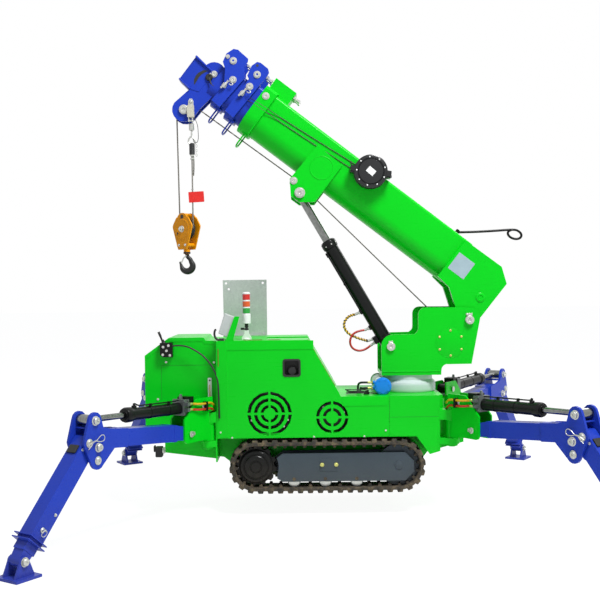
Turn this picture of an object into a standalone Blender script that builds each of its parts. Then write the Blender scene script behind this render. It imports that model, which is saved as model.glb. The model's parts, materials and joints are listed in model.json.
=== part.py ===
"""A spider crane: a small tracked crane that stands on four folding outriggers.

Metres, +Z up. The origin is on the ground under the middle of the four feet. The machine lies along X, with
its boom pointing to -X, and the side with the control levers is at -Y. Every moving piece hangs from an empty
that stands on its joint.
"""

import math

import bmesh
import bpy
from mathutils import Matrix, Vector

# Clearances
SEAT_GAP = 0.0003  # between pieces that touch on the real machine
PIN_GAP = 0.0004  # between a pin and its bore
RUN_GAP = 0.006  # between pieces that pass each other

# Undercarriage
TRACK_MIDDLE_Y = 0.30
TRACK_WIDTH = 0.20
TRACK_LIFT = 0.16  # the outriggers hold the tracks this far off the ground
SPROCKET_X = -0.523
IDLER_X = 0.475
BELT_RADIUS = 0.168
BELT_THICKNESS = 0.022
LUG_HEIGHT = 0.017
LUG_COUNT = 44
WHEEL_WIDTH = 0.075
SPROCKET_TEETH = 12
TRACK_PLATE = 0.022
ROLLER_RADIUS = 0.045
ROLLER_X = (-0.257, -0.039, 0.180)

# Chassis, hood and boxes
BODY_HALF_WIDTH = 0.38
NOSE_HALF_WIDTH = 0.262
DECK_CLEARANCE = 0.016  # over the tracks
DECK_LOW_Z = TRACK_LIFT + 2 * (LUG_HEIGHT + BELT_RADIUS) + DECK_CLEARANCE
DECK_THICKNESS = 0.034
HOOD_LEFT_X = -0.79
HOOD_TOP_Z = 1.227
HOOD_WALL = 0.012
HOOD_STEP_X = 0.411
REAR_DECK_Z = 0.83
REAR_END_X = 0.764
TROUGH_HALF_WIDTH = 0.09
TROUGH_FLOOR_Z = HOOD_TOP_Z - 0.082
BOX_LEFT_X = -1.303
BOX_TOP_Z = HOOD_TOP_Z + 0.021
NOSE_TOP_Z = 0.600
END_PLATE_TOP_Z = 0.735
BEAM_LOW_Z = 0.275
BEAM_HALF_WIDTH = 0.170
BOX_HALF_WIDTH = 0.277

# Outriggers, measured out from the swing pivot along the arm
PIVOT_X = 0.85
PIVOT_Y = 0.35
ARM_YAW_DEG = 56.5  # between the arm and the machine's length
SWING_PIN_RADIUS = 0.024
LUG_RADIUS = 0.052
UPPER_LUG_Z = (0.660, 0.730)
LOWER_LUG_Z = (0.490, 0.533)
BRACKET_GAP_HALF = 0.050  # half the space between the bracket's two plates
BRACKET_PLATE = 0.012
LIFT_PIN = (0.268, 0.616)
CYLINDER_PIN = (0.135, 0.786)
ARM_START = (0.40, 0.6363)
ARM_END = (1.03, 0.690)
ARM_HALF_WIDTH = 0.058
ARM_HALF_HEIGHT = 0.054
KNUCKLE_PLATE = 0.016
ROD_PIN = (1.160, 0.815)
KNUCKLE_PIN = (1.137, 0.653)
LOCK_PIN = (1.210, 0.688)
SPARE_PIN = (1.142, 0.575)
PIN_RADIUS = 0.018
CYLINDER_RADIUS = 0.040
ROD_RADIUS = 0.020
CYLINDER_LENGTH = 0.705
LEG_LEAN_DEG = 41.5  # off the vertical
LEG_OFFSET = 0.045  # from the knuckle pin out to the middle of the leg
LEG_HALF_WIDTH = 0.050
LEG_HALF_DEPTH = 0.055
LEG_WALL = 0.007
LEG_LENGTH = 0.677
LEG_RING = 0.006  # the two thin plates round the mouth of the outer leg
LEG_RING_PITCH = 0.026
LEG_RING_PROUD = 0.020
INNER_LEG_START = 0.250
FOOT_PIN_DOWN = 0.782  # along the leg from the knuckle pin
FOOT_HALF_WIDTH = 0.090
FOOT_PLATE = 0.016
CLEVIS_HALF = 0.072  # half the length of the foot's two upright plates at their base

# Turret and slew drive
SLEW_X = 0.58
SLEW_RING_RADIUS = 0.200
TURRET_LOW_Z = 0.955
TURRET_INNER_Y = 0.170
TURRET_PLATE = 0.018
WINCH = (0.872, 1.182)
DRUM_RADIUS = 0.070
DRUM_FLANGE_RADIUS = 0.105

# Boom: s runs from the boom's pivot to the head, n stands square on it and up
BOOM_PIVOT = (1.008, 1.346)
BOOM_ANGLE_DEG = 37.7
BOOM_PIN_RADIUS = 0.030
BASE_HALF_WIDTH = 0.130
BASE_LOW_N = 0.112
BASE_HIGH_N = 0.455
BASE_END_S = 2.165
TUBE_WALL = 0.007
TUBE_STEP = 0.0135  # each section is smaller than the one round it by this much on every side
SECTION_2_END_S = BASE_END_S + 0.135
SECTION_3_END_S = SECTION_2_END_S + 0.130
SECTION_START_S = 0.42
HEAD_SHEAVE = (SECTION_3_END_S + 0.125, -0.020)
HEAD_UPPER = (HEAD_SHEAVE[0] - 0.020, 0.318)
JIB_FACE_S = HEAD_SHEAVE[0] + 0.165
LUFF_PIN = (1.516, -0.002)
LUFF_BASE_PIN = (0.445, 1.162)
LUFF_BARREL_RADIUS = 0.050
LUFF_ROD_RADIUS = 0.030
LUFF_EYE_RADIUS = 0.048
LUFF_BARREL_LENGTH = 0.885
LUFF_ROD_SHORT = 0.40  # from the end of the rod to the barrel's pin
REEL = (1.200, 0.418)
REEL_RADIUS = 0.118

# Hook
FALL_RADIUS = 0.005
HEAD_SHEAVE_RADIUS = 0.055
BLOCK_TOP_DOWN = 0.745
BLOCK_LOW_DOWN = 1.015
HOOK_LOW_DOWN = 1.183

TRACK_MIDDLE_Z = TRACK_LIFT + LUG_HEIGHT + BELT_RADIUS

for old in list(bpy.data.objects):
    bpy.data.objects.remove(old, do_unlink=True)


def finish(name, colour, roughness, metallic=0.0):
    made = bpy.data.materials.new(name)
    made.use_nodes = True
    shader = made.node_tree.nodes["Principled BSDF"]
    shader.inputs["Base Color"].default_value = (*colour, 1.0)
    shader.inputs["Roughness"].default_value = roughness
    shader.inputs["Metallic"].default_value = metallic
    return made


GREEN = finish("green_paint", (0.005, 0.62, 0.02), 0.35)
BLUE = finish("blue_paint", (0.012, 0.035, 0.42), 0.35)
BLACK = finish("black_paint", (0.012, 0.014, 0.016), 0.4)
CHARCOAL = finish("charcoal_paint", (0.045, 0.06, 0.075), 0.45)
RUBBER = finish("track_rubber", (0.03, 0.024, 0.018), 0.85)
STEEL = finish("bright_steel", (0.62, 0.62, 0.60), 0.25, 1.0)
ZINC = finish("zinc_plate", (0.50, 0.52, 0.50), 0.4, 0.7)
WHITE = finish("white_plastic", (0.8, 0.8, 0.78), 0.4)
GREY = finish("grey_plastic", (0.4, 0.42, 0.42), 0.5)
YELLOW = finish("yellow_paint", (0.75, 0.38, 0.02), 0.4)


def joint_frame(name, location, turns=(0.0, 0.0, 0.0), parent=None):
    """An empty on a joint; its children are drawn in its own axes."""
    made = bpy.data.objects.new(name, None)
    made.location = location
    made.rotation_euler = [math.radians(turn) for turn in turns]
    made.parent = parent
    bpy.context.scene.collection.objects.link(made)
    return made


def arc(centre, radius, start_deg, end_deg, steps=8):
    """Points of an arc, both ends in."""
    turns = [math.radians(start_deg + (end_deg - start_deg) * i / steps) for i in range(steps + 1)]
    return [(centre[0] + radius * math.cos(t), centre[1] + radius * math.sin(t)) for t in turns]


def rectangle(low, high):
    return [(low[0], low[1]), (high[0], low[1]), (high[0], high[1]), (low[0], high[1])]


def prism(outline, low, high, axis="Y"):
    """A closed body: a flat outline swept along one axis. Its two numbers are the other two axes."""
    place = {
        "X": lambda a, b, c: (c, a, b),
        "Y": lambda a, b, c: (a, c, b),
        "Z": lambda a, b, c: (a, b, c),
    }[axis]
    body = bmesh.new()
    face = body.faces.new([body.verts.new(place(a, b, low)) for a, b in outline])
    swept = bmesh.ops.extrude_face_region(body, geom=[face])
    moved = [item for item in swept["geom"] if isinstance(item, bmesh.types.BMVert)]
    bmesh.ops.translate(body, verts=moved, vec=Vector(place(0, 0, high - low)))
    bmesh.ops.recalc_face_normals(body, faces=body.faces)
    return body


def pair(outline, inner, outer, axis="Y"):
    """The same plate on both sides of the middle."""
    return [prism(outline, inner, outer, axis), prism(outline, -outer, -inner, axis)]


def box(low, high):
    return prism(rectangle(low[:2], high[:2]), low[2], high[2], "Z")


def turned(profile, start, end, sides=24):
    """A body of revolution on the line from start to end; the profile has (radius, share of the length)."""
    start = Vector(start)
    along = Vector(end) - start
    turn = Vector((0, 0, 1)).rotation_difference(along).to_matrix().to_4x4()
    body = bmesh.new()
    points = [body.verts.new((radius, 0, share * along.length)) for radius, share in profile]
    edges = [body.edges.new(ends) for ends in zip(points, points[1:])]
    bmesh.ops.spin(
        body, geom=points + edges, axis=(0, 0, 1), cent=(0, 0, 0), angle=2 * math.pi, steps=sides,
        use_merge=True
    )
    bmesh.ops.remove_doubles(body, verts=body.verts, dist=1e-6)
    for rim in (profile[0], profile[-1]):
        if rim[0] > 0:
            ring = [e for e in body.edges
                    if e.is_boundary and abs(e.verts[0].co.z - rim[1] * along.length) < 1e-6]
            bmesh.ops.contextual_create(body, geom=ring)
    bmesh.ops.recalc_face_normals(body, faces=body.faces)
    for face in body.faces:
        face.smooth = len(face.verts) <= 4 and abs(face.normal.z) < 0.9
    bmesh.ops.transform(body, matrix=Matrix.Translation(start) @ turn, verts=body.verts)
    return body


def bar(start, end, radius, sides=12):
    return turned([(radius, 0), (radius, 1)], start, end, sides)


def cross_pin(place, radius, half_width, sides=12):
    """A pin through a place (along, up), square on both."""
    return bar((place[0], -half_width, place[1]), (place[0], half_width, place[1]), radius, sides)


def bore_radius(pin_radius, sides=12):
    """A bore with flat sides that clears its round pin however they turn."""
    return (pin_radius + PIN_GAP) / math.cos(math.pi / sides)


def mesh_from(name, bodies):
    joined = bmesh.new()
    for body in bodies:
        piece = bpy.data.meshes.new("piece")
        body.to_mesh(piece)
        body.free()
        joined.from_mesh(piece)
        bpy.data.meshes.remove(piece)
    mesh = bpy.data.meshes.new(name)
    joined.to_mesh(mesh)
    joined.free()
    return mesh


def helper(name, bodies, owner):
    made = bpy.data.objects.new(name, mesh_from(name, bodies))
    made.parent = owner.parent
    made.hide_render = True
    made.display_type = "WIRE"
    bpy.context.scene.collection.objects.link(made)
    return made


def part(name, look, bodies, cuts=(), parent=None):
    """One sub-part: its bodies joined, then its cuts taken out."""
    made = bpy.data.objects.new(name, mesh_from(name, bodies[:1]))
    made.data.materials.append(look)
    made.parent = parent
    bpy.context.scene.collection.objects.link(made)
    for kind, operation, shapes in (("joined", "UNION", bodies[1:]), ("cutter", "DIFFERENCE", cuts)):
        if not shapes:
            continue
        step = made.modifiers.new(kind, "BOOLEAN")
        step.operation = operation
        step.solver = "EXACT"
        step.use_self = True
        step.object = helper(f"{name}_{kind}", shapes, made)
    return made


# Tracks: a belt round sprocket and idler, its lugs in the outline
def loop_point(distance, proud):
    """A point of the track's loop, from the bottom left on round the idler."""
    straight = IDLER_X - SPROCKET_X
    half_turn = math.pi * BELT_RADIUS
    distance = distance % (2 * (straight + half_turn))
    reach = BELT_RADIUS + proud
    if distance < straight:
        return SPROCKET_X + distance, TRACK_MIDDLE_Z - reach
    distance -= straight
    if distance < half_turn:
        turn = distance / BELT_RADIUS - math.pi / 2
        return IDLER_X + reach * math.cos(turn), TRACK_MIDDLE_Z + reach * math.sin(turn)
    distance -= half_turn
    if distance < straight:
        return IDLER_X - distance, TRACK_MIDDLE_Z + reach
    turn = (distance - straight) / BELT_RADIUS + math.pi / 2
    return SPROCKET_X + reach * math.cos(turn), TRACK_MIDDLE_Z + reach * math.sin(turn)


def track_outline():
    pitch = 2 * (IDLER_X - SPROCKET_X + math.pi * BELT_RADIUS) / LUG_COUNT
    lug = ((0.12, 0.0), (0.22, LUG_HEIGHT), (0.70, LUG_HEIGHT), (0.80, 0.0))  # share of the pitch, height
    return [loop_point((i + share) * pitch, proud) for i in range(LUG_COUNT) for share, proud in lug]


BELT_STEPS = 16
BELT_INSIDE = BELT_RADIUS - BELT_THICKNESS
WHEEL_RADIUS = BELT_INSIDE * math.cos(math.pi / BELT_STEPS / 2) - SEAT_GAP


def sprocket_outline():
    """Teeth with flat tips that reach the belt."""
    points = []
    for i in range(SPROCKET_TEETH):
        for share, depth in ((0.0, 0.018), (0.35, 0.018), (0.5, 0.0), (0.85, 0.0)):
            turn = 2 * math.pi * (i + share) / SPROCKET_TEETH
            reach = WHEEL_RADIUS - depth
            points.append((SPROCKET_X + reach * math.cos(turn), TRACK_MIDDLE_Z + reach * math.sin(turn)))
    return points


FRAME_TOP_Z = TRACK_MIDDLE_Z + 0.090
FRAME_LOW_Z = TRACK_MIDDLE_Z - 0.107
FRAME_OUTLINE = [(SPROCKET_X + 0.188, FRAME_TOP_Z), (SPROCKET_X + 0.148, FRAME_TOP_Z - 0.030),
                 *arc((SPROCKET_X, TRACK_MIDDLE_Z), BELT_RADIUS - 0.010, 18, -18, 6),
                 (SPROCKET_X + 0.148, FRAME_LOW_Z + 0.024), (SPROCKET_X + 0.188, FRAME_LOW_Z),
                 (IDLER_X + 0.045, FRAME_LOW_Z), (IDLER_X + 0.105, TRACK_MIDDLE_Z - 0.045),
                 (IDLER_X + 0.105, TRACK_MIDDLE_Z + 0.030), (IDLER_X + 0.045, FRAME_TOP_Z)]
CORE_Z = (FRAME_LOW_Z + 0.024, FRAME_TOP_Z - 0.020)

for side, facing in (("near", -1), ("far", 1)):
    def across(low, high, facing=facing):
        """Distances from the track's middle, growing outwards, as two places on Y."""
        places = (facing * (TRACK_MIDDLE_Y + low), facing * (TRACK_MIDDLE_Y + high))
        return min(places), max(places)

    belt_hole = (arc((IDLER_X, TRACK_MIDDLE_Z), BELT_INSIDE, -90, 90, BELT_STEPS)
                 + arc((SPROCKET_X, TRACK_MIDDLE_Z), BELT_INSIDE, 90, 270, BELT_STEPS))
    belt_y = across(-TRACK_WIDTH / 2, TRACK_WIDTH / 2)
    part(f"track_{side}", RUBBER, [prism(track_outline(), *belt_y)],
         [prism(belt_hole, belt_y[0] - 0.01, belt_y[1] + 0.01)])
    wheel_y = across(-WHEEL_WIDTH / 2, WHEEL_WIDTH / 2)
    plate_out = TRACK_WIDTH / 2 - 0.025
    outer_y = across(plate_out - TRACK_PLATE, plate_out)
    inner_y = across(-plate_out, TRACK_PLATE - plate_out)
    core_y = across(0.005 - plate_out, plate_out - 0.005)
    hub = [(SPROCKET_X, across(0, reach)[facing > 0], TRACK_MIDDLE_Z) for reach in (0.02, 0.065, 0.082)]
    part(f"sprocket_{side}", BLACK,
         [prism(sprocket_outline(), *wheel_y),
          turned([(0.118, 0), (0.118, 0.75), (0.100, 1)], hub[0], hub[1], 20),
          turned([(0.045, 0), (0.045, 0.8), (0.032, 1)], hub[0], hub[2], 12)])
    rollers = [bar((x, core_y[0], TRACK_LIFT + LUG_HEIGHT + BELT_THICKNESS + SEAT_GAP + ROLLER_RADIUS),
                   (x, core_y[1], TRACK_LIFT + LUG_HEIGHT + BELT_THICKNESS + SEAT_GAP + ROLLER_RADIUS),
                   ROLLER_RADIUS, 12) for x in ROLLER_X]
    core = prism([(SPROCKET_X + 0.178, CORE_Z[1]), (SPROCKET_X + 0.178, CORE_Z[0]),
                  (IDLER_X - 0.150, CORE_Z[0]),
                  (IDLER_X - 0.175, CORE_Z[1])], *core_y)
    idler = bar((IDLER_X, wheel_y[0], TRACK_MIDDLE_Z), (IDLER_X, wheel_y[1], TRACK_MIDDLE_Z), WHEEL_RADIUS,
                24)
    axle = bar((IDLER_X, core_y[0], TRACK_MIDDLE_Z), (IDLER_X, core_y[1], TRACK_MIDDLE_Z), 0.03, 10)
    drive = bar((SPROCKET_X, across(-WHEEL_WIDTH / 2 - SEAT_GAP, 0)[facing < 0], TRACK_MIDDLE_Z),
                (SPROCKET_X, across(-plate_out, 0)[facing < 0], TRACK_MIDDLE_Z), 0.09, 16)
    arm = prism(rectangle((SPROCKET_X - 0.037, TRACK_MIDDLE_Z - 0.055),
                          (SPROCKET_X + 0.193, TRACK_MIDDLE_Z + 0.055)),
                *across(-plate_out, 0.020 - plate_out))
    part(f"track_frame_{side}", CHARCOAL,
         [prism(FRAME_OUTLINE, *outer_y), core, prism(FRAME_OUTLINE, *inner_y), idler, axle, drive, arm,
          *rollers])

# Chassis: a centre beam between the tracks, a deck, and end frames with the outriggers' lugs
TRACK_FRAME_INNER_Y = TRACK_MIDDLE_Y - (TRACK_WIDTH / 2 - 0.025)
DECK_TOP_Z = DECK_LOW_Z + DECK_THICKNESS
END_PLATE_X = HOOD_LEFT_X - 0.010
NOSE_LEFT_X = -1.17


def lug_outline(sign_x, sign_y, inner_x):
    """A bracket lug in plan: a round nose on the swing pivot, and a neck to the chassis."""
    nose = [(PIVOT_X + LUG_RADIUS * math.cos(math.radians(t)),
             PIVOT_Y + LUG_RADIUS * math.sin(math.radians(t)))
            for t in range(-90, 91, 30)]
    neck = [(inner_x, PIVOT_Y + LUG_RADIUS * 0.6), (inner_x, PIVOT_Y - LUG_RADIUS * 1.4)]
    return [(sign_x * x, sign_y * y) for x, y in nose + neck]


chassis = [
    prism([(HOOD_LEFT_X + 0.015, BEAM_LOW_Z + 0.120), (HOOD_LEFT_X + 0.170, BEAM_LOW_Z),
           (REAR_END_X - 0.164, BEAM_LOW_Z), (REAR_END_X - 0.044, BEAM_LOW_Z + 0.155),
           (REAR_END_X - 0.044, DECK_LOW_Z - SEAT_GAP), (HOOD_LEFT_X + 0.015, DECK_LOW_Z - SEAT_GAP)],
          -BEAM_HALF_WIDTH, BEAM_HALF_WIDTH),
    box((HOOD_LEFT_X + HOOD_WALL + SEAT_GAP, -BODY_HALF_WIDTH + HOOD_WALL + SEAT_GAP, DECK_LOW_Z),
        (HOOD_STEP_X - HOOD_WALL - SEAT_GAP, BODY_HALF_WIDTH - HOOD_WALL - SEAT_GAP, DECK_TOP_Z)),
    box((HOOD_LEFT_X + HOOD_WALL + 0.01, -0.165, DECK_LOW_Z - 0.05),
        (HOOD_STEP_X - HOOD_WALL - 0.01, 0.165, DECK_TOP_Z - 0.01)),
    prism([(HOOD_STEP_X + SEAT_GAP, DECK_LOW_Z), (0.60, DECK_LOW_Z), (0.69, 0.42), (REAR_END_X, 0.441),
           (REAR_END_X, REAR_DECK_Z), (HOOD_STEP_X + SEAT_GAP, REAR_DECK_Z)], -BODY_HALF_WIDTH,
           BODY_HALF_WIDTH),
    prism([(REAR_END_X - 0.03, 0.432), (0.945, 0.485), (0.945, 0.610), (0.80, 0.700),
           (0.80, REAR_DECK_Z - 0.01),
           (REAR_END_X - 0.03, REAR_DECK_Z - 0.01)], -NOSE_HALF_WIDTH, NOSE_HALF_WIDTH),
    prism([(NOSE_LEFT_X, NOSE_TOP_Z - 0.165), (HOOD_LEFT_X + 0.090, NOSE_TOP_Z - 0.225),
           (HOOD_LEFT_X + 0.090, DECK_LOW_Z - SEAT_GAP), (HOOD_LEFT_X - SEAT_GAP, DECK_LOW_Z - 0.001),
           (HOOD_LEFT_X - SEAT_GAP, NOSE_TOP_Z), (NOSE_LEFT_X, NOSE_TOP_Z)], -BEAM_HALF_WIDTH,
           BEAM_HALF_WIDTH),
    prism([(NOSE_LEFT_X, NOSE_TOP_Z - 0.165), (HOOD_LEFT_X - SEAT_GAP, NOSE_TOP_Z - 0.214),
           (HOOD_LEFT_X - SEAT_GAP, NOSE_TOP_Z), (NOSE_LEFT_X, NOSE_TOP_Z)], -NOSE_HALF_WIDTH,
           NOSE_HALF_WIDTH),
    box((END_PLATE_X, -0.375, NOSE_TOP_Z - 0.218), (HOOD_LEFT_X - SEAT_GAP, 0.375, END_PLATE_TOP_Z)),
]
for x in (-0.15, 0.28):
    reach = TRACK_FRAME_INNER_Y - SEAT_GAP
    chassis.append(box((x, -reach, 0.300), (x + 0.10, reach, 0.390)))
for sign_x, inner_x in ((-1, -END_PLATE_X - 0.002), (1, REAR_END_X - 0.01)):
    for sign_y in (-1, 1):
        place = (sign_x * PIVOT_X, sign_y * PIVOT_Y)
        chassis.append(prism(lug_outline(sign_x, sign_y, inner_x), *LOWER_LUG_Z, "Z"))
        chassis.append(prism(lug_outline(sign_x, sign_y, inner_x), *UPPER_LUG_Z, "Z"))
        chassis.append(bar((*place, LOWER_LUG_Z[0] - 0.02), (*place, UPPER_LUG_Z[1] + 0.008),
                           SWING_PIN_RADIUS, 12))
part("chassis", GREEN, chassis)

# Hood: a folded shell over the engine, its near wall cut by round grilles and a small window
HOOD_OUTLINE = [(HOOD_LEFT_X, DECK_LOW_Z), (HOOD_STEP_X, DECK_LOW_Z), (HOOD_STEP_X, REAR_DECK_Z),
                (0.075, REAR_DECK_Z), (0.041, 0.895), (-0.148, HOOD_TOP_Z), (HOOD_LEFT_X, HOOD_TOP_Z)]
HOOD_INSIDE = [(HOOD_LEFT_X + HOOD_WALL, DECK_LOW_Z - 0.02), (HOOD_STEP_X - HOOD_WALL, DECK_LOW_Z - 0.02),
               (HOOD_STEP_X - HOOD_WALL, REAR_DECK_Z - HOOD_WALL),
               (0.066, REAR_DECK_Z - HOOD_WALL), (0.030, 0.889), (-0.155, HOOD_TOP_Z - HOOD_WALL),
               (HOOD_LEFT_X + HOOD_WALL, HOOD_TOP_Z - HOOD_WALL)]


def clipped_below(outline, top):
    """The outline with everything above a height taken off."""
    points = []
    for (x0, z0), (x1, z1) in zip(outline, outline[1:] + outline[:1]):
        if z0 <= top:
            points.append((x0, z0))
        if (z0 - top) * (z1 - top) < 0:
            share = (top - z0) / (z1 - z0)
            points.append((x0 + share * (x1 - x0), top))
    return points


def ring_slots(centre, rings, bar_width=0.016):
    """The four arc slots of each ring, for a round grille."""
    slots = []
    for outer, inner in rings:
        for quarter in range(4):
            edges = []
            for radius, order in ((outer, 1), (inner, -1)):
                lean = math.degrees(math.asin(bar_width / 2 / radius))
                edges += arc(centre, radius, 90 * quarter + lean, 90 * quarter + 90 - lean, 4)[::order]
            slots.append(edges)
    return slots


GRILLES = (  # centre, then the rings' outer and inner radii
    ((-0.423, 0.715), ((0.155, 0.133), (0.109, 0.086), (0.062, 0.042))),
    ((0.013, 0.685), ((0.113, 0.091), (0.066, 0.044))),
)
WINDOW = ((-0.322, HOOD_TOP_Z - 0.250), (-0.208, HOOD_TOP_Z - 0.137))
hood_cuts = [
    prism(clipped_below(HOOD_INSIDE, TROUGH_FLOOR_Z - HOOD_WALL), -BODY_HALF_WIDTH + HOOD_WALL,
          BODY_HALF_WIDTH - HOOD_WALL),
    *pair(HOOD_INSIDE, TROUGH_HALF_WIDTH + HOOD_WALL, BODY_HALF_WIDTH - HOOD_WALL),
    box((-0.45, -TROUGH_HALF_WIDTH, TROUGH_FLOOR_Z), (0.10, TROUGH_HALF_WIDTH, HOOD_TOP_Z + 0.01)),
]
near_wall = (-BODY_HALF_WIDTH - 0.01, -BODY_HALF_WIDTH + HOOD_WALL + 0.005)
for centre, rings in GRILLES:
    hood_cuts += [prism(slot, *near_wall) for slot in ring_slots(centre, rings)]
hood_cuts.append(prism(rectangle(*WINDOW), *near_wall))
part("hood", GREEN, [prism(HOOD_OUTLINE, -BODY_HALF_WIDTH, BODY_HALF_WIDTH)], hood_cuts)
part("engine", CHARCOAL, [box((-0.68, -0.24, DECK_TOP_Z + SEAT_GAP), (-0.14, 0.24, 1.05))])

# Control box at the left end, with the lever box on its near side
BOX_SEAT_Z = NOSE_TOP_Z + SEAT_GAP
BOX_OUTLINE = [(BOX_LEFT_X, BOX_SEAT_Z + 0.020), (-1.130, BOX_SEAT_Z + 0.020), (-1.090, BOX_SEAT_Z),
               (END_PLATE_X - 0.0005, BOX_SEAT_Z), (END_PLATE_X - 0.0005, END_PLATE_TOP_Z + SEAT_GAP),
               (HOOD_LEFT_X - SEAT_GAP, END_PLATE_TOP_Z + SEAT_GAP),
               (HOOD_LEFT_X - SEAT_GAP, BOX_TOP_Z - 0.026),
               (-0.870, BOX_TOP_Z - 0.022), (-0.885, BOX_TOP_Z), (-1.132, BOX_TOP_Z),
               (BOX_LEFT_X, BOX_TOP_Z - 0.124)]
part("control_box", GREEN, [prism(BOX_OUTLINE, -BOX_HALF_WIDTH, BOX_HALF_WIDTH)])
lever_y = -BOX_HALF_WIDTH - SEAT_GAP
part("lever_box", BLACK,
     [prism([(-1.188, BOX_TOP_Z - 0.113), (-1.170, BOX_TOP_Z - 0.133), (-1.100, BOX_TOP_Z - 0.133),
             (-1.100, BOX_TOP_Z - 0.033), (-1.188, BOX_TOP_Z - 0.033)], lever_y - 0.05, lever_y),
      bar((-1.165, lever_y - 0.025, BOX_TOP_Z - 0.043), (-1.197, lever_y - 0.025, BOX_TOP_Z + 0.042),
          0.007, 10)])

# Panel, beacon and control pod on the hood
HOOD_SEAT_Z = HOOD_TOP_Z + SEAT_GAP
PANEL_TOP_Z = HOOD_TOP_Z + 0.428
BEACON_TOP_Z = HOOD_TOP_Z + 0.338
POD_ARM_TOP_Z = HOOD_TOP_Z + 0.169
part("panel", ZINC,
     [prism([(-0.785, HOOD_SEAT_Z), (-0.455, HOOD_SEAT_Z), (-0.455, PANEL_TOP_Z), (-0.790, PANEL_TOP_Z)],
            0.296, 0.306),
      box((-0.785, 0.266, HOOD_SEAT_Z), (-0.455, 0.300, HOOD_SEAT_Z + 0.010))],
     [bar((x, 0.28, PANEL_TOP_Z - down), (x, 0.32, PANEL_TOP_Z - down), 0.009, 12)
      for x, down in ((-0.765, 0.025), (-0.485, 0.025), (-0.745, 0.070))])
BEACON = (-0.582, -0.25)
part("beacon", WHITE,
     [turned([(0.034, 0), (0.034, 0.05), (0.014, 0.09), (0.014, 0.22), (0.030, 0.26), (0.030, 0.97),
              (0.022, 1)],
             (*BEACON, HOOD_SEAT_Z), (*BEACON, BEACON_TOP_Z), 20)])
ARM_PLATE_Y = (-0.376, -0.358)
part("pod_arm", GREEN,
     [prism([(-0.722, HOOD_SEAT_Z), (-0.672, HOOD_SEAT_Z), (-0.624, POD_ARM_TOP_Z), (-0.659, POD_ARM_TOP_Z)],
            *ARM_PLATE_Y),
      box((-0.725, ARM_PLATE_Y[0], HOOD_SEAT_Z), (-0.668, -0.330, HOOD_SEAT_Z + 0.008))])
part("pod", GREY,
     [prism([(-0.7746, POD_ARM_TOP_Z - 0.118), (-0.704, POD_ARM_TOP_Z - 0.148),
             (-0.6525, POD_ARM_TOP_Z - 0.007),
             (-0.730, POD_ARM_TOP_Z + 0.0226)], ARM_PLATE_Y[1] + SEAT_GAP, ARM_PLATE_Y[1] + 0.085)])

# Outriggers: bracket, arm, folding leg with a sliding inner leg, foot, and the lift cylinder
BRACKET_OUTLINE = [(0.070, 0.556), (0.302, 0.556), *arc((0.302, 0.586), 0.030, -60, 0, 3), (0.332, 0.715),
                   (0.205, 0.845), (0.030, 0.845), (0.030, 0.748), (0.070, 0.743)]
LUG_WEB_Z = (LOWER_LUG_Z[1] + SEAT_GAP, UPPER_LUG_Z[0] - SEAT_GAP)
KNUCKLE_OUTLINE = [(0.890, 0.620), (1.000, 0.630), *arc(SPARE_PIN, 0.055, 215, 330, 5),
                   *arc(LOCK_PIN, 0.042, -30, 30, 2), *arc(ROD_PIN, 0.052, 10, 170, 6),
                   (1.092, 0.768), (1.010, 0.748), (0.890, 0.737)]
arm_slope = Vector((ARM_END[0] - ARM_START[0], ARM_END[1] - ARM_START[1])).normalized()
arm_up = Vector((-arm_slope.y, arm_slope.x)) * ARM_HALF_HEIGHT
ARM_OUTLINE = [(ARM_START[0] - arm_up.x, ARM_START[1] - arm_up.y),
               (ARM_END[0] - arm_up.x, ARM_END[1] - arm_up.y),
               (ARM_END[0] + arm_up.x, ARM_END[1] + arm_up.y),
               (ARM_START[0] + arm_up.x, ARM_START[1] + arm_up.y)]
CYLINDER_RISE_DEG = math.degrees(math.atan2(ROD_PIN[1] - CYLINDER_PIN[1], ROD_PIN[0] - CYLINDER_PIN[0]))
CYLINDER_REACH = math.dist(CYLINDER_PIN, ROD_PIN)
KNUCKLE_INNER = ARM_HALF_WIDTH
KNUCKLE_OUTER = ARM_HALF_WIDTH + KNUCKLE_PLATE
BRACKET_OUTER = BRACKET_GAP_HALF + BRACKET_PLATE


def moved(outline, origin):
    """An outline measured from a joint instead of from the swing pivot."""
    return [(x - origin[0], z - origin[1]) for x, z in outline]


def from_pin(place, origin):
    return place[0] - origin[0], place[1] - origin[1]


def eye(radius, half_width, bore, centre=(0.0, 0.0)):
    """The barrel-shaped end of a rod, and the cutter for its bore."""
    return cross_pin(centre, radius, half_width, 16), cross_pin(centre, bore, half_width + 0.01, 12)


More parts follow.
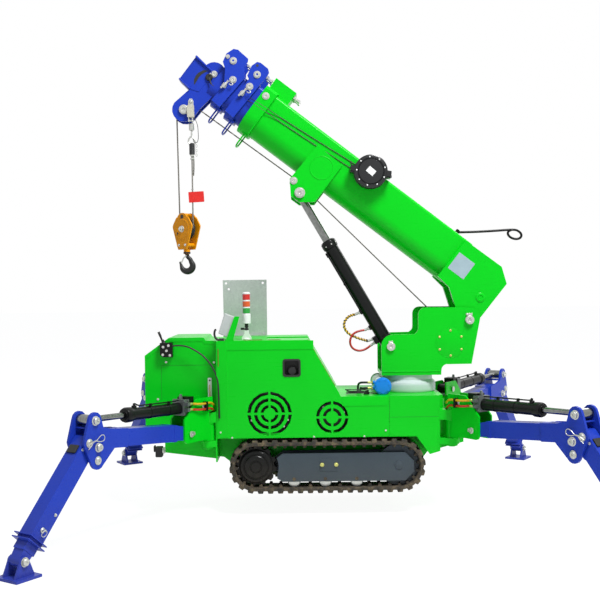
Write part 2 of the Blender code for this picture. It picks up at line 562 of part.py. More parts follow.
for corner, sign_x, sign_y in (("left_near", -1, -1), ("left_far", -1, 1), ("right_near", 1, -1),
                               ("right_far", 1, 1)):
    yaw = math.degrees(math.atan2(sign_y * math.sin(math.radians(ARM_YAW_DEG)),
                                  sign_x * math.cos(math.radians(ARM_YAW_DEG))))
    swing = joint_frame(f"swing_joint_{corner}", (sign_x * PIVOT_X, sign_y * PIVOT_Y, 0), (0, 0, yaw))
    part(f"bracket_{corner}", GREEN,
         [bar((0, 0, LUG_WEB_Z[0]), (0, 0, LUG_WEB_Z[1]), 0.042, 16),
          box((0.0, -0.036, LUG_WEB_Z[0] + 0.004), (0.105, 0.036, LUG_WEB_Z[1] - 0.004)),
          box((0.070, -BRACKET_OUTER + 0.002, 0.559), (0.095, BRACKET_OUTER - 0.002, 0.735)),
          *pair(BRACKET_OUTLINE, BRACKET_GAP_HALF, BRACKET_OUTER),
          cross_pin(LIFT_PIN, PIN_RADIUS, BRACKET_OUTER + 0.010),
          cross_pin(CYLINDER_PIN, PIN_RADIUS, BRACKET_OUTER + 0.010)],
         [bar((0, 0, 0.5), (0, 0, 0.7), bore_radius(SWING_PIN_RADIUS), 12)], swing)

    lift = joint_frame(f"lift_joint_{corner}", (LIFT_PIN[0], 0, LIFT_PIN[1]), parent=swing)
    tongue_end = ARM_START[0] - LIFT_PIN[0] + 0.010  # a centimetre inside the arm's box
    tongue = [*arc((0, 0), 0.045, 90, 270, 6), (tongue_end - 0.030, -0.030), (tongue_end, -0.030),
              (tongue_end, 0.068), (tongue_end - 0.030, 0.068)]
    rod_place = from_pin(ROD_PIN, LIFT_PIN)
    part(f"arm_{corner}", BLUE,
         [prism(moved(ARM_OUTLINE, LIFT_PIN), -ARM_HALF_WIDTH, ARM_HALF_WIDTH),
          prism(tongue, -BRACKET_GAP_HALF + SEAT_GAP, BRACKET_GAP_HALF - SEAT_GAP),
          *pair(moved(KNUCKLE_OUTLINE, LIFT_PIN), KNUCKLE_INNER - 0.002, KNUCKLE_OUTER),
          cross_pin(from_pin(KNUCKLE_PIN, LIFT_PIN), PIN_RADIUS, KNUCKLE_OUTER + 0.010),
          *[bar((rod_place[0], sign * (KNUCKLE_OUTER - 0.005), rod_place[1]),
                (rod_place[0], sign * (KNUCKLE_OUTER + 0.012), rod_place[1]), PIN_RADIUS,
                8) for sign in (-1, 1)]],
         [cross_pin((0, 0), bore_radius(PIN_RADIUS), 0.07)], lift)

    knuckle_place = from_pin(KNUCKLE_PIN, LIFT_PIN)
    knuckle = joint_frame(f"knuckle_joint_{corner}", (knuckle_place[0], 0, knuckle_place[1]),
                          (0, -LEG_LEAN_DEG, 0), lift)
    leg_eye, leg_bore = eye(0.040, KNUCKLE_INNER - 0.002 - SEAT_GAP, bore_radius(PIN_RADIUS))
    leg_middle = LEG_OFFSET
    part(f"leg_{corner}", BLUE,
         [prism([(leg_middle - LEG_HALF_DEPTH, -LEG_LENGTH), (leg_middle + LEG_HALF_DEPTH, -LEG_LENGTH),
                 (leg_middle + LEG_HALF_DEPTH, 0.010), (leg_middle + LEG_HALF_DEPTH - 0.03, 0.040),
                 (leg_middle - LEG_HALF_DEPTH, 0.040)], -LEG_HALF_WIDTH, LEG_HALF_WIDTH),
          leg_eye,
          *[prism(rectangle((leg_middle - LEG_HALF_DEPTH - LEG_RING_PROUD, -LEG_HALF_WIDTH - LEG_RING_PROUD),
                            (leg_middle + LEG_HALF_DEPTH + LEG_RING_PROUD, LEG_HALF_WIDTH + LEG_RING_PROUD)),
                  z, z + LEG_RING, "Z") for z in (-LEG_LENGTH, -LEG_LENGTH + LEG_RING_PITCH)]],
         [leg_bore,
          box((leg_middle - LEG_HALF_DEPTH + LEG_WALL, -LEG_HALF_WIDTH + LEG_WALL, -LEG_LENGTH - 0.01),
              (leg_middle + LEG_HALF_DEPTH - LEG_WALL, LEG_HALF_WIDTH - LEG_WALL, -0.06))], knuckle)
    slide_gap = LEG_WALL + SEAT_GAP
    inner_eye, inner_bore = eye(0.032, 0.040, bore_radius(PIN_RADIUS), (leg_middle, -FOOT_PIN_DOWN))
    part(f"leg_inner_{corner}", BLUE,
         [box((leg_middle - LEG_HALF_DEPTH + slide_gap, -LEG_HALF_WIDTH + slide_gap, -FOOT_PIN_DOWN + 0.055),
              (leg_middle + LEG_HALF_DEPTH - slide_gap, LEG_HALF_WIDTH - slide_gap, -INNER_LEG_START)),
          prism([(leg_middle - 0.032, -FOOT_PIN_DOWN), (leg_middle + 0.032, -FOOT_PIN_DOWN),
                 (leg_middle + 0.040, -FOOT_PIN_DOWN + 0.06), (leg_middle - 0.040, -FOOT_PIN_DOWN + 0.06)],
                -0.040, 0.040),
          inner_eye], [inner_bore], knuckle)

    foot = joint_frame(f"foot_joint_{corner}", (leg_middle, 0, -FOOT_PIN_DOWN), (0, LEG_LEAN_DEG, 0), knuckle)
    foot_low = -(KNUCKLE_PIN[1] - FOOT_PIN_DOWN * math.cos(math.radians(LEG_LEAN_DEG))
                 + leg_middle * math.sin(math.radians(LEG_LEAN_DEG)))
    part(f"foot_{corner}", BLUE,
         [box((-FOOT_HALF_WIDTH, -FOOT_HALF_WIDTH, foot_low),
              (FOOT_HALF_WIDTH, FOOT_HALF_WIDTH, foot_low + FOOT_PLATE)),
          *pair([(-CLEVIS_HALF, foot_low + 0.01), (CLEVIS_HALF, foot_low + 0.01),
                 *arc((0, 0), 0.032, 10, 170, 5)],
                0.0405, 0.053),
          cross_pin((0, 0), PIN_RADIUS, 0.062)], (), foot)

    barrel = joint_frame(f"cylinder_joint_{corner}", (CYLINDER_PIN[0], 0, CYLINDER_PIN[1]),
                         (0, -CYLINDER_RISE_DEG, 0), swing)
    barrel_eye, barrel_bore = eye(0.036, BRACKET_GAP_HALF - SEAT_GAP, bore_radius(PIN_RADIUS))
    part(f"barrel_{corner}", BLACK,
         [turned([(CYLINDER_RADIUS, 0), (CYLINDER_RADIUS, 0.94), (CYLINDER_RADIUS + 0.004, 0.94),
                  (CYLINDER_RADIUS + 0.004, 1)], (0.02, 0, 0), (CYLINDER_LENGTH, 0, 0), 16),
          barrel_eye, box((0.075, -0.040, 0.030), (0.150, 0.040, 0.075))],
         [barrel_bore, bar((0.06, 0, 0), (CYLINDER_LENGTH + 0.01, 0, 0), bore_radius(ROD_RADIUS), 12)],
         barrel)
    part(f"rod_{corner}", STEEL,
         [bar((0.25, 0, 0), (CYLINDER_REACH, 0, 0), ROD_RADIUS, 12),
          cross_pin((CYLINDER_REACH, 0), 0.034, KNUCKLE_INNER - 0.002 - SEAT_GAP, 16)], (), barrel)

# Slew drive between chassis and turret
part("slew_drive", WHITE,
     [turned([(SLEW_RING_RADIUS, 0), (SLEW_RING_RADIUS, 0.55), (SLEW_RING_RADIUS - 0.02, 0.70),
              (SLEW_RING_RADIUS - 0.02, 1)], (SLEW_X, 0, REAR_DECK_Z + SEAT_GAP),
             (SLEW_X, 0, TURRET_LOW_Z - SEAT_GAP), 32),
      bar((0.375, -0.17, 0.888), (0.375, 0.17, 0.888), 0.048, 20)])
part("slew_motor", BLUE, [bar((0.375, -0.17 - SEAT_GAP, 0.888), (0.375, -0.300, 0.888), 0.050, 20)])

# Turret: two side plates on a base plate, with the winch between them
slew = joint_frame("slew", (SLEW_X, 0, 0))
TURRET_OUTLINE = [(0.377, TURRET_LOW_Z), (0.377, 1.170), *arc((0.457, 1.166), 0.080, 180, 90, 5),
                  (0.612, 1.248),
                  *arc((0.600, 1.290), 0.042, -60, 0, 4), (0.643, 1.388),
                  *arc((0.693, 1.388), 0.050, 180, 90, 4),
                  (1.012, 1.436), *arc((1.008, 1.358), 0.078, 85, 0, 6), (1.021, 1.031), (0.850, 1.030),
                  *arc((0.850, 0.987), 0.045, 100, 180, 4), (0.803, TURRET_LOW_Z)]
TURRET_OUTER_Y = TURRET_INNER_Y + TURRET_PLATE


def on_slew(outline):
    return [(x - SLEW_X, z) for x, z in outline]


def turret_place(place):
    return place[0] - SLEW_X, place[1]


part("turret", GREEN,
     [box((0.377 - SLEW_X, -TURRET_INNER_Y - 0.005, TURRET_LOW_Z),
          (0.803 - SLEW_X, TURRET_INNER_Y + 0.005, 0.980)),
      *pair(on_slew(TURRET_OUTLINE), TURRET_INNER_Y, TURRET_OUTER_Y),
      cross_pin(turret_place(BOOM_PIVOT), BOOM_PIN_RADIUS, TURRET_OUTER_Y + 0.012, 20),
      *[bar((turret_place(LUFF_BASE_PIN)[0], sign * (TURRET_OUTER_Y - 0.005), LUFF_BASE_PIN[1]),
            (turret_place(LUFF_BASE_PIN)[0], sign * (TURRET_OUTER_Y + 0.012), LUFF_BASE_PIN[1]),
            BOOM_PIN_RADIUS, 16) for sign in (-1, 1)]], (), slew)
winch_half = TURRET_INNER_Y - SEAT_GAP
part("winch", BLACK,
     [cross_pin(turret_place(WINCH), DRUM_RADIUS, winch_half - 0.02, 20),
      cross_pin(turret_place(WINCH), 0.045, winch_half, 12),
      *[bar((turret_place(WINCH)[0], y, WINCH[1]), (turret_place(WINCH)[0], y + 0.012, WINCH[1]),
            DRUM_FLANGE_RADIUS, 20) for y in (-winch_half + 0.02, winch_half - 0.06)]], (), slew)

# Boom: a base section on the turret, three sections inside it, and the head
boom = joint_frame("boom", (BOOM_PIVOT[0] - SLEW_X, 0, BOOM_PIVOT[1]), (0, -BOOM_ANGLE_DEG, 180), slew)


def tube_outline(step, inset=0.0):
    """The section of a boom tube, (across, n): straight sides, a round bottom and small top corners."""
    half = BASE_HALF_WIDTH - step * TUBE_STEP - inset
    low = BASE_LOW_N + step * TUBE_STEP + inset
    high = BASE_HIGH_N - step * TUBE_STEP - inset
    corner = 0.022
    return [*arc((0, low + half), half, 180, 360, 8), *arc((half - corner, high - corner), corner, 0, 90, 3),
            *arc((corner - half, high - corner), corner, 90, 180, 3)]


def collar(step, start, end, grow=0.020, top=0.0):
    """A band round a tube's mouth, open for the next tube."""
    half = BASE_HALF_WIDTH - step * TUBE_STEP + grow
    low = BASE_LOW_N + step * TUBE_STEP - grow
    high = BASE_HIGH_N - step * TUBE_STEP + grow + top
    return prism([*arc((0, low + half), half, 180, 360, 8), (half, high - 0.02), (half - 0.02, high),
                  (0.02 - half, high), (-half, high - 0.02)], start, end, "X")


def bore(step, start, end):
    """The cutter that opens a tube for the one inside it."""
    return prism(tube_outline(step, TUBE_WALL), start, end, "X")


TAIL_OUTLINE = [(0.362, 0.440), (0.040, 0.445), (-0.063, 0.369), (-0.058, 0.064),
                *arc((0, 0), 0.062, 135, 270, 5),
                (0.060, -0.055), (0.135, 0.018), (0.253, 0.101), (0.365, 0.116)]
BRACKET_S = [(1.480, -0.058), (1.555, -0.059), (1.635, 0.035), (1.630, 0.120), (1.620, 0.349), (1.390, 0.338),
             (1.390, 0.012)]
cheek_inner, cheek_outer = BASE_HALF_WIDTH - 0.004, BASE_HALF_WIDTH + 0.018
tail_inner, tail_outer = BASE_HALF_WIDTH - 0.004, TURRET_INNER_Y - RUN_GAP
part("boom_base", GREEN,
     [prism(tube_outline(0), 0.30, BASE_END_S - 0.09, "X"),
      collar(0, BASE_END_S - 0.10, BASE_END_S),
      box((BASE_END_S - 0.192, -0.075, BASE_HIGH_N - 0.01), (BASE_END_S - 0.010, 0.075, BASE_HIGH_N + 0.110)),
      *pair(TAIL_OUTLINE, tail_inner, tail_outer),
      prism([(0.045, 0.425), (0.33, 0.425), (0.33, 0.13), (0.10, 0.10), (-0.045, 0.20), (-0.045, 0.36)],
            -tail_inner - 0.002, tail_inner + 0.002),
      cross_pin((0, 0), 0.055, TURRET_INNER_Y - SEAT_GAP, 24),
      *pair(BRACKET_S, cheek_inner, cheek_outer),
      cross_pin(LUFF_PIN, BOOM_PIN_RADIUS, cheek_outer + 0.012, 20)],
     [bore(0, 0.35, BASE_END_S - 0.095),
      prism(tube_outline(1, -SEAT_GAP), BASE_END_S - 0.11, BASE_END_S + 0.01, "X"),
      cross_pin((0, 0), bore_radius(BOOM_PIN_RADIUS, 16), 0.20, 16)], boom)
part("cable_reel", BLACK,
     [turned([(REEL_RADIUS - 0.01, 0), (REEL_RADIUS, 0.12), (REEL_RADIUS, 0.88), (REEL_RADIUS - 0.012, 1)],
             (REEL[0], BASE_HALF_WIDTH + 0.012, REEL[1]), (REEL[0], BASE_HALF_WIDTH + 0.095, REEL[1]), 24),
      bar((REEL[0], BASE_HALF_WIDTH + SEAT_GAP, REEL[1] - 0.02),
          (REEL[0], BASE_HALF_WIDTH + 0.03, REEL[1] - 0.02), 0.04, 10)], (), boom)

# The side plates at a section's end: (along from that end, n), and the pin of the sheave between them.
CHEEKS = {
    2: ([(-0.076, 0.141), (0.0, 0.147), (0.0, 0.431), (0.023, 0.443), (0.040, 0.519), (0.025, 0.564),
         (0.0, 0.574),
         (-0.067, 0.572), (-0.090, 0.553), (-0.094, 0.515)], (-0.030, 0.491)),
    3: ([(-0.081, 0.144), (-0.003, 0.150), (-0.012, 0.288), (0.051, 0.387), (0.096, 0.419), (0.110, 0.481),
         (0.089, 0.539), (0.059, 0.553), (-0.038, 0.545), (-0.049, 0.525), (-0.050, 0.481), (-0.077, 0.444),
         (-0.102, 0.422)], (0.039, 0.469)),
}
GUIDE_SHEAVE_RADIUS = 0.036


def section_end(number, step, end_s):
    """A collar and two side plates. The sheave between them leads the rope of the next section."""
    outline, pin = CHEEKS[number]
    half = BASE_HALF_WIDTH - step * TUBE_STEP
    place = (end_s + pin[0], pin[1])
    return [collar(step, end_s - 0.075, end_s),
            *pair([(end_s + s, n) for s, n in outline], half + 0.012, half + 0.024),
            cross_pin(place, 0.014, half + 0.034, 10), cross_pin(place, GUIDE_SHEAVE_RADIUS, 0.030, 14)]


part("boom_2", BLUE,
     [prism(tube_outline(1), SECTION_START_S, SECTION_2_END_S - 0.06, "X"),
      *section_end(2, 1, SECTION_2_END_S)],
     [bore(1, SECTION_START_S - 0.01, SECTION_2_END_S - 0.065),
      prism(tube_outline(2, -SEAT_GAP), SECTION_2_END_S - 0.08, SECTION_2_END_S + 0.01, "X")], boom)
part("boom_3", BLUE,
     [prism(tube_outline(2), SECTION_START_S + 0.02, SECTION_3_END_S - 0.06, "X"),
      *section_end(3, 2, SECTION_3_END_S)],
     [bore(2, SECTION_START_S + 0.01, SECTION_3_END_S - 0.065),
      prism(tube_outline(3, -SEAT_GAP), SECTION_3_END_S - 0.08, SECTION_3_END_S + 0.01, "X")], boom)
HEAD_TUBE_END_S = HEAD_SHEAVE[0] - 0.055
HEAD_LOBE = 0.087
HEAD_OUTLINE = [(HEAD_SHEAVE[0] - 0.114, 0.222), (HEAD_SHEAVE[0] - 0.090, 0.060),
                *arc(HEAD_SHEAVE, HEAD_LOBE, 180, 360, 8),
                (HEAD_SHEAVE[0] + 0.060, 0.110), (HEAD_SHEAVE[0] + 0.076, 0.250),
                *arc(HEAD_UPPER, HEAD_LOBE, 0, 110, 6),
                (HEAD_SHEAVE[0] - 0.114, 0.400)]
FLANGE = 0.012
JIB_FLANGES = ((-0.060, 0.310, JIB_FACE_S - HEAD_SHEAVE[0], 0.340),
               (-0.035, 0.104, JIB_FACE_S - HEAD_SHEAVE[0], 0.134))
part("boom_head", BLUE,
     [prism(tube_outline(3), SECTION_START_S + 0.04, HEAD_TUBE_END_S, "X"),
      *pair(HEAD_OUTLINE, 0.045, 0.062),
      *[prism([(HEAD_SHEAVE[0] + s0, n0), (HEAD_SHEAVE[0] + s1, n1), (HEAD_SHEAVE[0] + s1, n1 + FLANGE),
               (HEAD_SHEAVE[0] + s0, n0 + FLANGE)], -0.055, 0.055) for s0, n0, s1, n1 in JIB_FLANGES],
      box((JIB_FACE_S - 0.022, -0.045, 0.134), (JIB_FACE_S, 0.045, 0.350)),
      bar((JIB_FACE_S - 0.035, 0, 0.136), (JIB_FACE_S - 0.035, 0, 0.342), 0.028, 12),
      cross_pin(HEAD_UPPER, 0.024, 0.050, 12),
      cross_pin(HEAD_SHEAVE, 0.022, 0.074, 16)],
     [prism(tube_outline(3, TUBE_WALL), SECTION_START_S + 0.03, HEAD_TUBE_END_S - 0.06, "X")], boom)
part("head_sheave", CHARCOAL,
     [turned([(HEAD_SHEAVE_RADIUS + 0.010, 0), (HEAD_SHEAVE_RADIUS, 0.25), (HEAD_SHEAVE_RADIUS, 0.75),
              (HEAD_SHEAVE_RADIUS + 0.010, 1)], (HEAD_SHEAVE[0], -0.0447, HEAD_SHEAVE[1]),
             (HEAD_SHEAVE[0], 0.0447, HEAD_SHEAVE[1]), 24)],
     [cross_pin(HEAD_SHEAVE, bore_radius(0.022), 0.06)], boom)


def ring_rod(points, radius, sides=8):
    """A bent round bar through the points, with its ends closed."""
    curve = bpy.data.curves.new("rod_path", "CURVE")
    curve.dimensions = "3D"
    line = curve.splines.new("POLY")
    line.points.add(len(points) - 1)
    for knot, place in zip(line.points, points):
        knot.co = (*place, 1)
    curve.bevel_depth = radius
    curve.bevel_resolution = sides // 4
    curve.use_fill_caps = True
    return curve


GUIDE_RING = (0.095, 0.696)  # its middle, and then its radius
GUIDE_RING_RADIUS = 0.05
GUIDE_FOOT_S = 0.432
guide_ring = [(s, 0.0, n) for s, n in arc(GUIDE_RING, GUIDE_RING_RADIUS, 50, 350, 14)]
guide = bpy.data.objects.new("rope_guide", ring_rod(
    [(GUIDE_FOOT_S, 0.0, BASE_HIGH_N + SEAT_GAP), (GUIDE_FOOT_S, 0.0, BASE_HIGH_N + 0.015),
     (GUIDE_FOOT_S - 0.017, 0.0, BASE_HIGH_N + 0.028), *guide_ring], 0.008))
guide.data.materials.append(BLACK)
guide.parent = boom
bpy.context.scene.collection.objects.link(guide)

# Luff cylinder: the rod hangs on the boom's bracket, and the barrel slides on it
boom_turn = math.radians(BOOM_ANGLE_DEG)
luff_top = Vector((BOOM_PIVOT[0] - LUFF_PIN[0] * math.cos(boom_turn) + LUFF_PIN[1] * math.sin(boom_turn),
                   BOOM_PIVOT[1] + LUFF_PIN[0] * math.sin(boom_turn) + LUFF_PIN[1] * math.cos(boom_turn)))
luff_line = Vector(LUFF_BASE_PIN) - luff_top
luff_reach = luff_line.length
luff_rise_deg = math.degrees(math.atan2(-luff_line.y, luff_line.x))
luff = joint_frame("luff_rod_pin", (luff_top.x - SLEW_X, 0, luff_top.y), (0, luff_rise_deg, 0), slew)
rod_eye, rod_bore = eye(LUFF_EYE_RADIUS, cheek_inner - SEAT_GAP, bore_radius(BOOM_PIN_RADIUS))
part("luff_rod", STEEL,
     [bar((0, 0, 0), (luff_reach - LUFF_ROD_SHORT, 0, 0), LUFF_ROD_RADIUS, 20), rod_eye], [rod_bore], luff)
barrel_start = luff_reach - LUFF_BARREL_LENGTH
part("luff_barrel", BLACK,
     [turned([(LUFF_BARREL_RADIUS, 0), (LUFF_BARREL_RADIUS, 1)], (barrel_start, 0, 0),
             (luff_reach - 0.02, 0, 0), 24),
      cross_pin((luff_reach, 0), LUFF_EYE_RADIUS, TURRET_INNER_Y - SEAT_GAP, 24)],
     [bar((barrel_start - 0.01, 0, 0), (luff_reach - 0.06, 0, 0), bore_radius(LUFF_ROD_RADIUS, 16), 16)],
     luff)

# Hook: two falls of rope from the head sheave, the block and the hook, plumb under the head
head_x = BOOM_PIVOT[0] - HEAD_SHEAVE[0] * math.cos(boom_turn) + HEAD_SHEAVE[1] * math.sin(boom_turn)
head_z = BOOM_PIVOT[1] + HEAD_SHEAVE[0] * math.sin(boom_turn) + HEAD_SHEAVE[1] * math.cos(boom_turn)
hang = joint_frame("hook_pivot", (head_x - SLEW_X, 0, head_z), parent=slew)
fall_x = HEAD_SHEAVE_RADIUS + FALL_RADIUS + PIN_GAP
block = [(-0.060, -BLOCK_TOP_DOWN), *arc((0, -BLOCK_TOP_DOWN - 0.115), 0.105, 150, 230, 5),
         (-0.035, -BLOCK_LOW_DOWN), (0.035, -BLOCK_LOW_DOWN),
         *arc((0, -BLOCK_TOP_DOWN - 0.115), 0.105, -50, 30, 5),
         (0.060, -BLOCK_TOP_DOWN)]
part("hook_block", YELLOW,
     [prism(block, -0.045, 0.045),
      *[bar((x, 0, -BLOCK_TOP_DOWN - 0.05), (x, 0, 0), FALL_RADIUS, 8) for x in (-fall_x, fall_x)]], (), hang)
HOOK_BAR = 0.016
hook_middle = -HOOK_LOW_DOWN + 0.050
hook_path = [(0, 0, -BLOCK_LOW_DOWN - SEAT_GAP), (0, 0, hook_middle + 0.060),
             *[(0.034 * math.sin(t) * -1, 0, hook_middle + 0.034 * math.cos(t))
               for t in [math.radians(-20 - 250 * i / 10) for i in range(11)]]]
hook = bpy.data.objects.new("hook", ring_rod(hook_path, HOOK_BAR))
hook.data.materials.append(BLACK)
hook.parent = hang
bpy.context.scene.collection.objects.link(hook)
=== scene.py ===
"""The looks of a spider crane, a small tracked crane on four folding outriggers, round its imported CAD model.

The frame is the CAD's: metres, +Z up, the ground at Z 0, the boom towards -X and the control levers at -Y.
The sections follow the machine as it is put together, from the ground up to the hook.
"""

import json
import math

import bmesh
import bpy
from mathutils import Matrix, Vector


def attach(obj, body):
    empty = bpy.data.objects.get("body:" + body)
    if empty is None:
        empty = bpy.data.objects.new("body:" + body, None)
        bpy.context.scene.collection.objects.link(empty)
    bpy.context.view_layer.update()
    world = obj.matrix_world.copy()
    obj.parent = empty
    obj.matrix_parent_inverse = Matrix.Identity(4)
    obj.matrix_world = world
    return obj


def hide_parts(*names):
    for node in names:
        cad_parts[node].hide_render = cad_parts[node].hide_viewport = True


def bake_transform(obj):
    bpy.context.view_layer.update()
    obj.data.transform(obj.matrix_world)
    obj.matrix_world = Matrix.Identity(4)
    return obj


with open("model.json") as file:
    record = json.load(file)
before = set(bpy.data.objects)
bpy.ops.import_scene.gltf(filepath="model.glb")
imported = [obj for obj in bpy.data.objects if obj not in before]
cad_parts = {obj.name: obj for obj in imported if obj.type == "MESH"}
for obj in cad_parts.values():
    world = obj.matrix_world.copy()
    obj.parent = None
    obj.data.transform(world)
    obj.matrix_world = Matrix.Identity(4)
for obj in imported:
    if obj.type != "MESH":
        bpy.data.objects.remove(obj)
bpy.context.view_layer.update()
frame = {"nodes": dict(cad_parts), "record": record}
nodes = frame["nodes"]

# Camera and studio. The photograph was taken from 7 m away with a lens of medium length, a touch tilted.
# White paper stands behind and under the machine, with one large soft lamp and the light of the room.
camera = bpy.data.objects.new("camera", bpy.data.cameras.new("camera"))
camera.data.sensor_width = 36.0
camera.data.lens = 58.15
camera.matrix_world = (Matrix.Translation((-0.201, -7.115, 1.60))
                       @ Matrix.Rotation(math.radians(89.195), 4, "X")
                       @ Matrix.Rotation(math.radians(-0.72), 4, "Z"))
bpy.context.scene.collection.objects.link(camera)
bpy.context.scene.camera = camera
bpy.context.scene.view_settings.view_transform = "Standard"


def linear(code):
    """An sRGB hex colour as linear RGBA."""
    shares = [int(code[i:i + 2], 16) / 255 for i in (0, 2, 4)]
    return (*[s / 12.92 if s <= 0.04045 else ((s + 0.055) / 1.055) ** 2.4 for s in shares], 1.0)


def add(tree, kind, links=None, values=None, **settings):
    """Adds a shader node with its settings, its sockets' values and its links."""
    made = tree.nodes.new(kind)
    for name, setting in settings.items():
        setattr(made, name, setting)
    for name, value in (values or {}).items():
        made.inputs[name].default_value = value
    for name, source in (links or {}).items():
        tree.links.new(source, made.inputs[name])
    return made


def looked_at(tree):
    """1 for a ray from the camera, a mirror or clear plastic, and 0 for a ray that only brings light."""
    path = add(tree, "ShaderNodeLightPath")
    seen = add(tree, "ShaderNodeMath", {0: path.outputs["Is Camera Ray"], 1: path.outputs["Is Glossy Ray"]},
               operation="MAXIMUM")
    return add(tree, "ShaderNodeMath", {0: seen.outputs[0], 1: path.outputs["Is Transmission Ray"]},
               operation="MAXIMUM")


world = bpy.data.worlds.new("room")
bpy.context.scene.world = world
world.use_nodes = True
tree = world.node_tree
tree.nodes.clear()
seen = looked_at(tree)
room_light = add(tree, "ShaderNodeBackground", values={"Color": linear("F4F8FF"), "Strength": 0.36})
paper = add(tree, "ShaderNodeBackground", values={"Color": (1, 1, 1, 1), "Strength": 1.0})
either = add(tree, "ShaderNodeMixShader", {0: seen.outputs[0], 1: room_light.outputs[0], 2: paper.outputs[0]})
add(tree, "ShaderNodeOutputWorld", {"Surface": either.outputs[0]})

floor_paper = bpy.data.materials.new("white_paper")
floor_paper.use_nodes = True
tree = floor_paper.node_tree
tree.nodes.clear()
seen = looked_at(tree)
glow_share = add(tree, "ShaderNodeMath", {0: seen.outputs[0]}, {1: 0.80}, operation="MULTIPLY")
matt = add(tree, "ShaderNodeBsdfDiffuse", values={"Color": (0.93, 0.93, 0.93, 1)})
glow = add(tree, "ShaderNodeEmission", values={"Color": (1, 1, 1, 1), "Strength": 1.16})
both = add(tree, "ShaderNodeMixShader", {0: glow_share.outputs[0], 1: matt.outputs[0], 2: glow.outputs[0]})
add(tree, "ShaderNodeOutputMaterial", {"Surface": both.outputs[0]})
sheet = bmesh.new()
bmesh.ops.create_grid(sheet, x_segments=1, y_segments=1, size=60)
bmesh.ops.translate(sheet, verts=sheet.verts, vec=(0, 0, -0.0006))
floor_mesh = bpy.data.meshes.new("floor")
sheet.to_mesh(floor_mesh)
sheet.free()
floor_mesh.materials.append(floor_paper)
floor = bpy.data.objects.new("floor", floor_mesh)
bpy.context.scene.collection.objects.link(floor)

for name, spot, aim, size, power in (("lamp_key", (2.3, -3.9, 7.6), (0, 0, 1.0), 2.2, 640),
                                     ("lamp_back", (4.2, 4.6, 5.4), (0, 0, 1.0), 3.0, 130)):
    lamp = bpy.data.objects.new(name, bpy.data.lights.new(name, "AREA"))
    lamp.data.size = size
    lamp.data.energy = power
    lamp.location = spot
    lamp.rotation_euler = (Vector(aim) - Vector(spot)).to_track_quat("-Z", "Y").to_euler()
    bpy.context.scene.collection.objects.link(lamp)

# Tracks. Each is one loop of black rubber, moulded with staggered lugs outside and guide lugs inside.
# Mud has dried on it in brown patches.
MIDDLE_Y = 0.30
MIDDLE_Z = 0.345
SPROCKET_X, IDLER_X = -0.523, 0.475
BELT_RADIUS, BELT_THICKNESS, LUG_HEIGHT, BELT_WIDTH = 0.168, 0.022, 0.017, 0.20
LUGS = 44
ROLLER_X = (-0.257, -0.039, 0.180)


def new_look(name):
    """A new material: itself, its node tree, its shader and its object coordinates."""
    made = bpy.data.materials.new(name)
    made.use_nodes = True
    tree = made.node_tree
    return made, tree, tree.nodes["Principled BSDF"], add(tree, "ShaderNodeTexCoord")


# Moulded natural rubber: matt, near black, with dried mud in patches of 20 to 60 mm and a fine pitted skin.
track_rubber_and_hole_shade, tree, skin, spot = new_look("moulded_track_rubber_and_hole_shade")
patches = add(tree, "ShaderNodeTexNoise", {"Vector": spot.outputs["Object"]},
              {"Scale": 26.0, "Detail": 5.0, "Roughness": 0.62})
mud = add(tree, "ShaderNodeValToRGB", {"Fac": patches.outputs["Fac"]})
mud.color_ramp.elements[0].position = 0.36
mud.color_ramp.elements[0].color = linear("2C2A26")
mud.color_ramp.elements[1].position = 0.74
mud.color_ramp.elements[1].color = linear("7A6A50")
middle = mud.color_ramp.elements.new(0.52)
middle.color = linear("463E32")
tree.links.new(mud.outputs["Color"], skin.inputs["Base Color"])
skin.inputs["Roughness"].default_value = 0.86
skin.inputs["IOR"].default_value = 1.52
pits = add(tree, "ShaderNodeTexNoise", {"Vector": spot.outputs["Object"]}, {"Scale": 320.0, "Detail": 4.0})
relief = add(tree, "ShaderNodeBump", {"Height": pits.outputs["Fac"]}, {"Strength": 0.5, "Distance": 0.003})
tree.links.new(relief.outputs["Normal"], skin.inputs["Normal"])


def soften():
    """A modifier's node group: smooth shading, with the edges over 50 degrees kept sharp."""
    group = bpy.data.node_groups.new("smooth_under_50_degrees", "GeometryNodeTree")
    group.interface.new_socket("Geometry", in_out="INPUT", socket_type="NodeSocketGeometry")
    group.interface.new_socket("Geometry", in_out="OUTPUT", socket_type="NodeSocketGeometry")
    start = add(group, "NodeGroupInput")
    bend = add(group, "GeometryNodeInputMeshEdgeAngle")
    flat = add(group, "FunctionNodeCompare", {"A": bend.outputs["Unsigned Angle"]}, {"B": math.radians(50)},
               data_type="FLOAT", operation="LESS_EQUAL")
    edges = add(group, "GeometryNodeSetShadeSmooth",
                {"Geometry": start.outputs[0], "Shade Smooth": flat.outputs[0]}, domain="EDGE")
    faces = add(group, "GeometryNodeSetShadeSmooth", {"Geometry": edges.outputs[0]}, domain="FACE")
    add(group, "NodeGroupOutput", {0: faces.outputs[0]})
    return group


SMOOTHED = soften()


def joined(shapes):
    """One bmesh out of several."""
    whole = bmesh.new()
    for shape in shapes:
        step = bpy.data.meshes.new("step")
        shape.to_mesh(step)
        shape.free()
        whole.from_mesh(step)
        bpy.data.meshes.remove(step)
    return whole


def round_edges(made, width, sharp=35.0):
    """Rounds a piece's edges, and keeps its flat faces flat in the shading."""
    rounded = made.modifiers.new("rounded_edges", "BEVEL")
    rounded.width = width
    rounded.segments = 2
    rounded.limit_method = "ANGLE"
    rounded.angle_limit = math.radians(sharp)
    made.modifiers.new("smooth", "NODES").node_group = SMOOTHED
    made.modifiers.new("flat_faces_rule", "WEIGHTED_NORMAL").keep_sharp = True


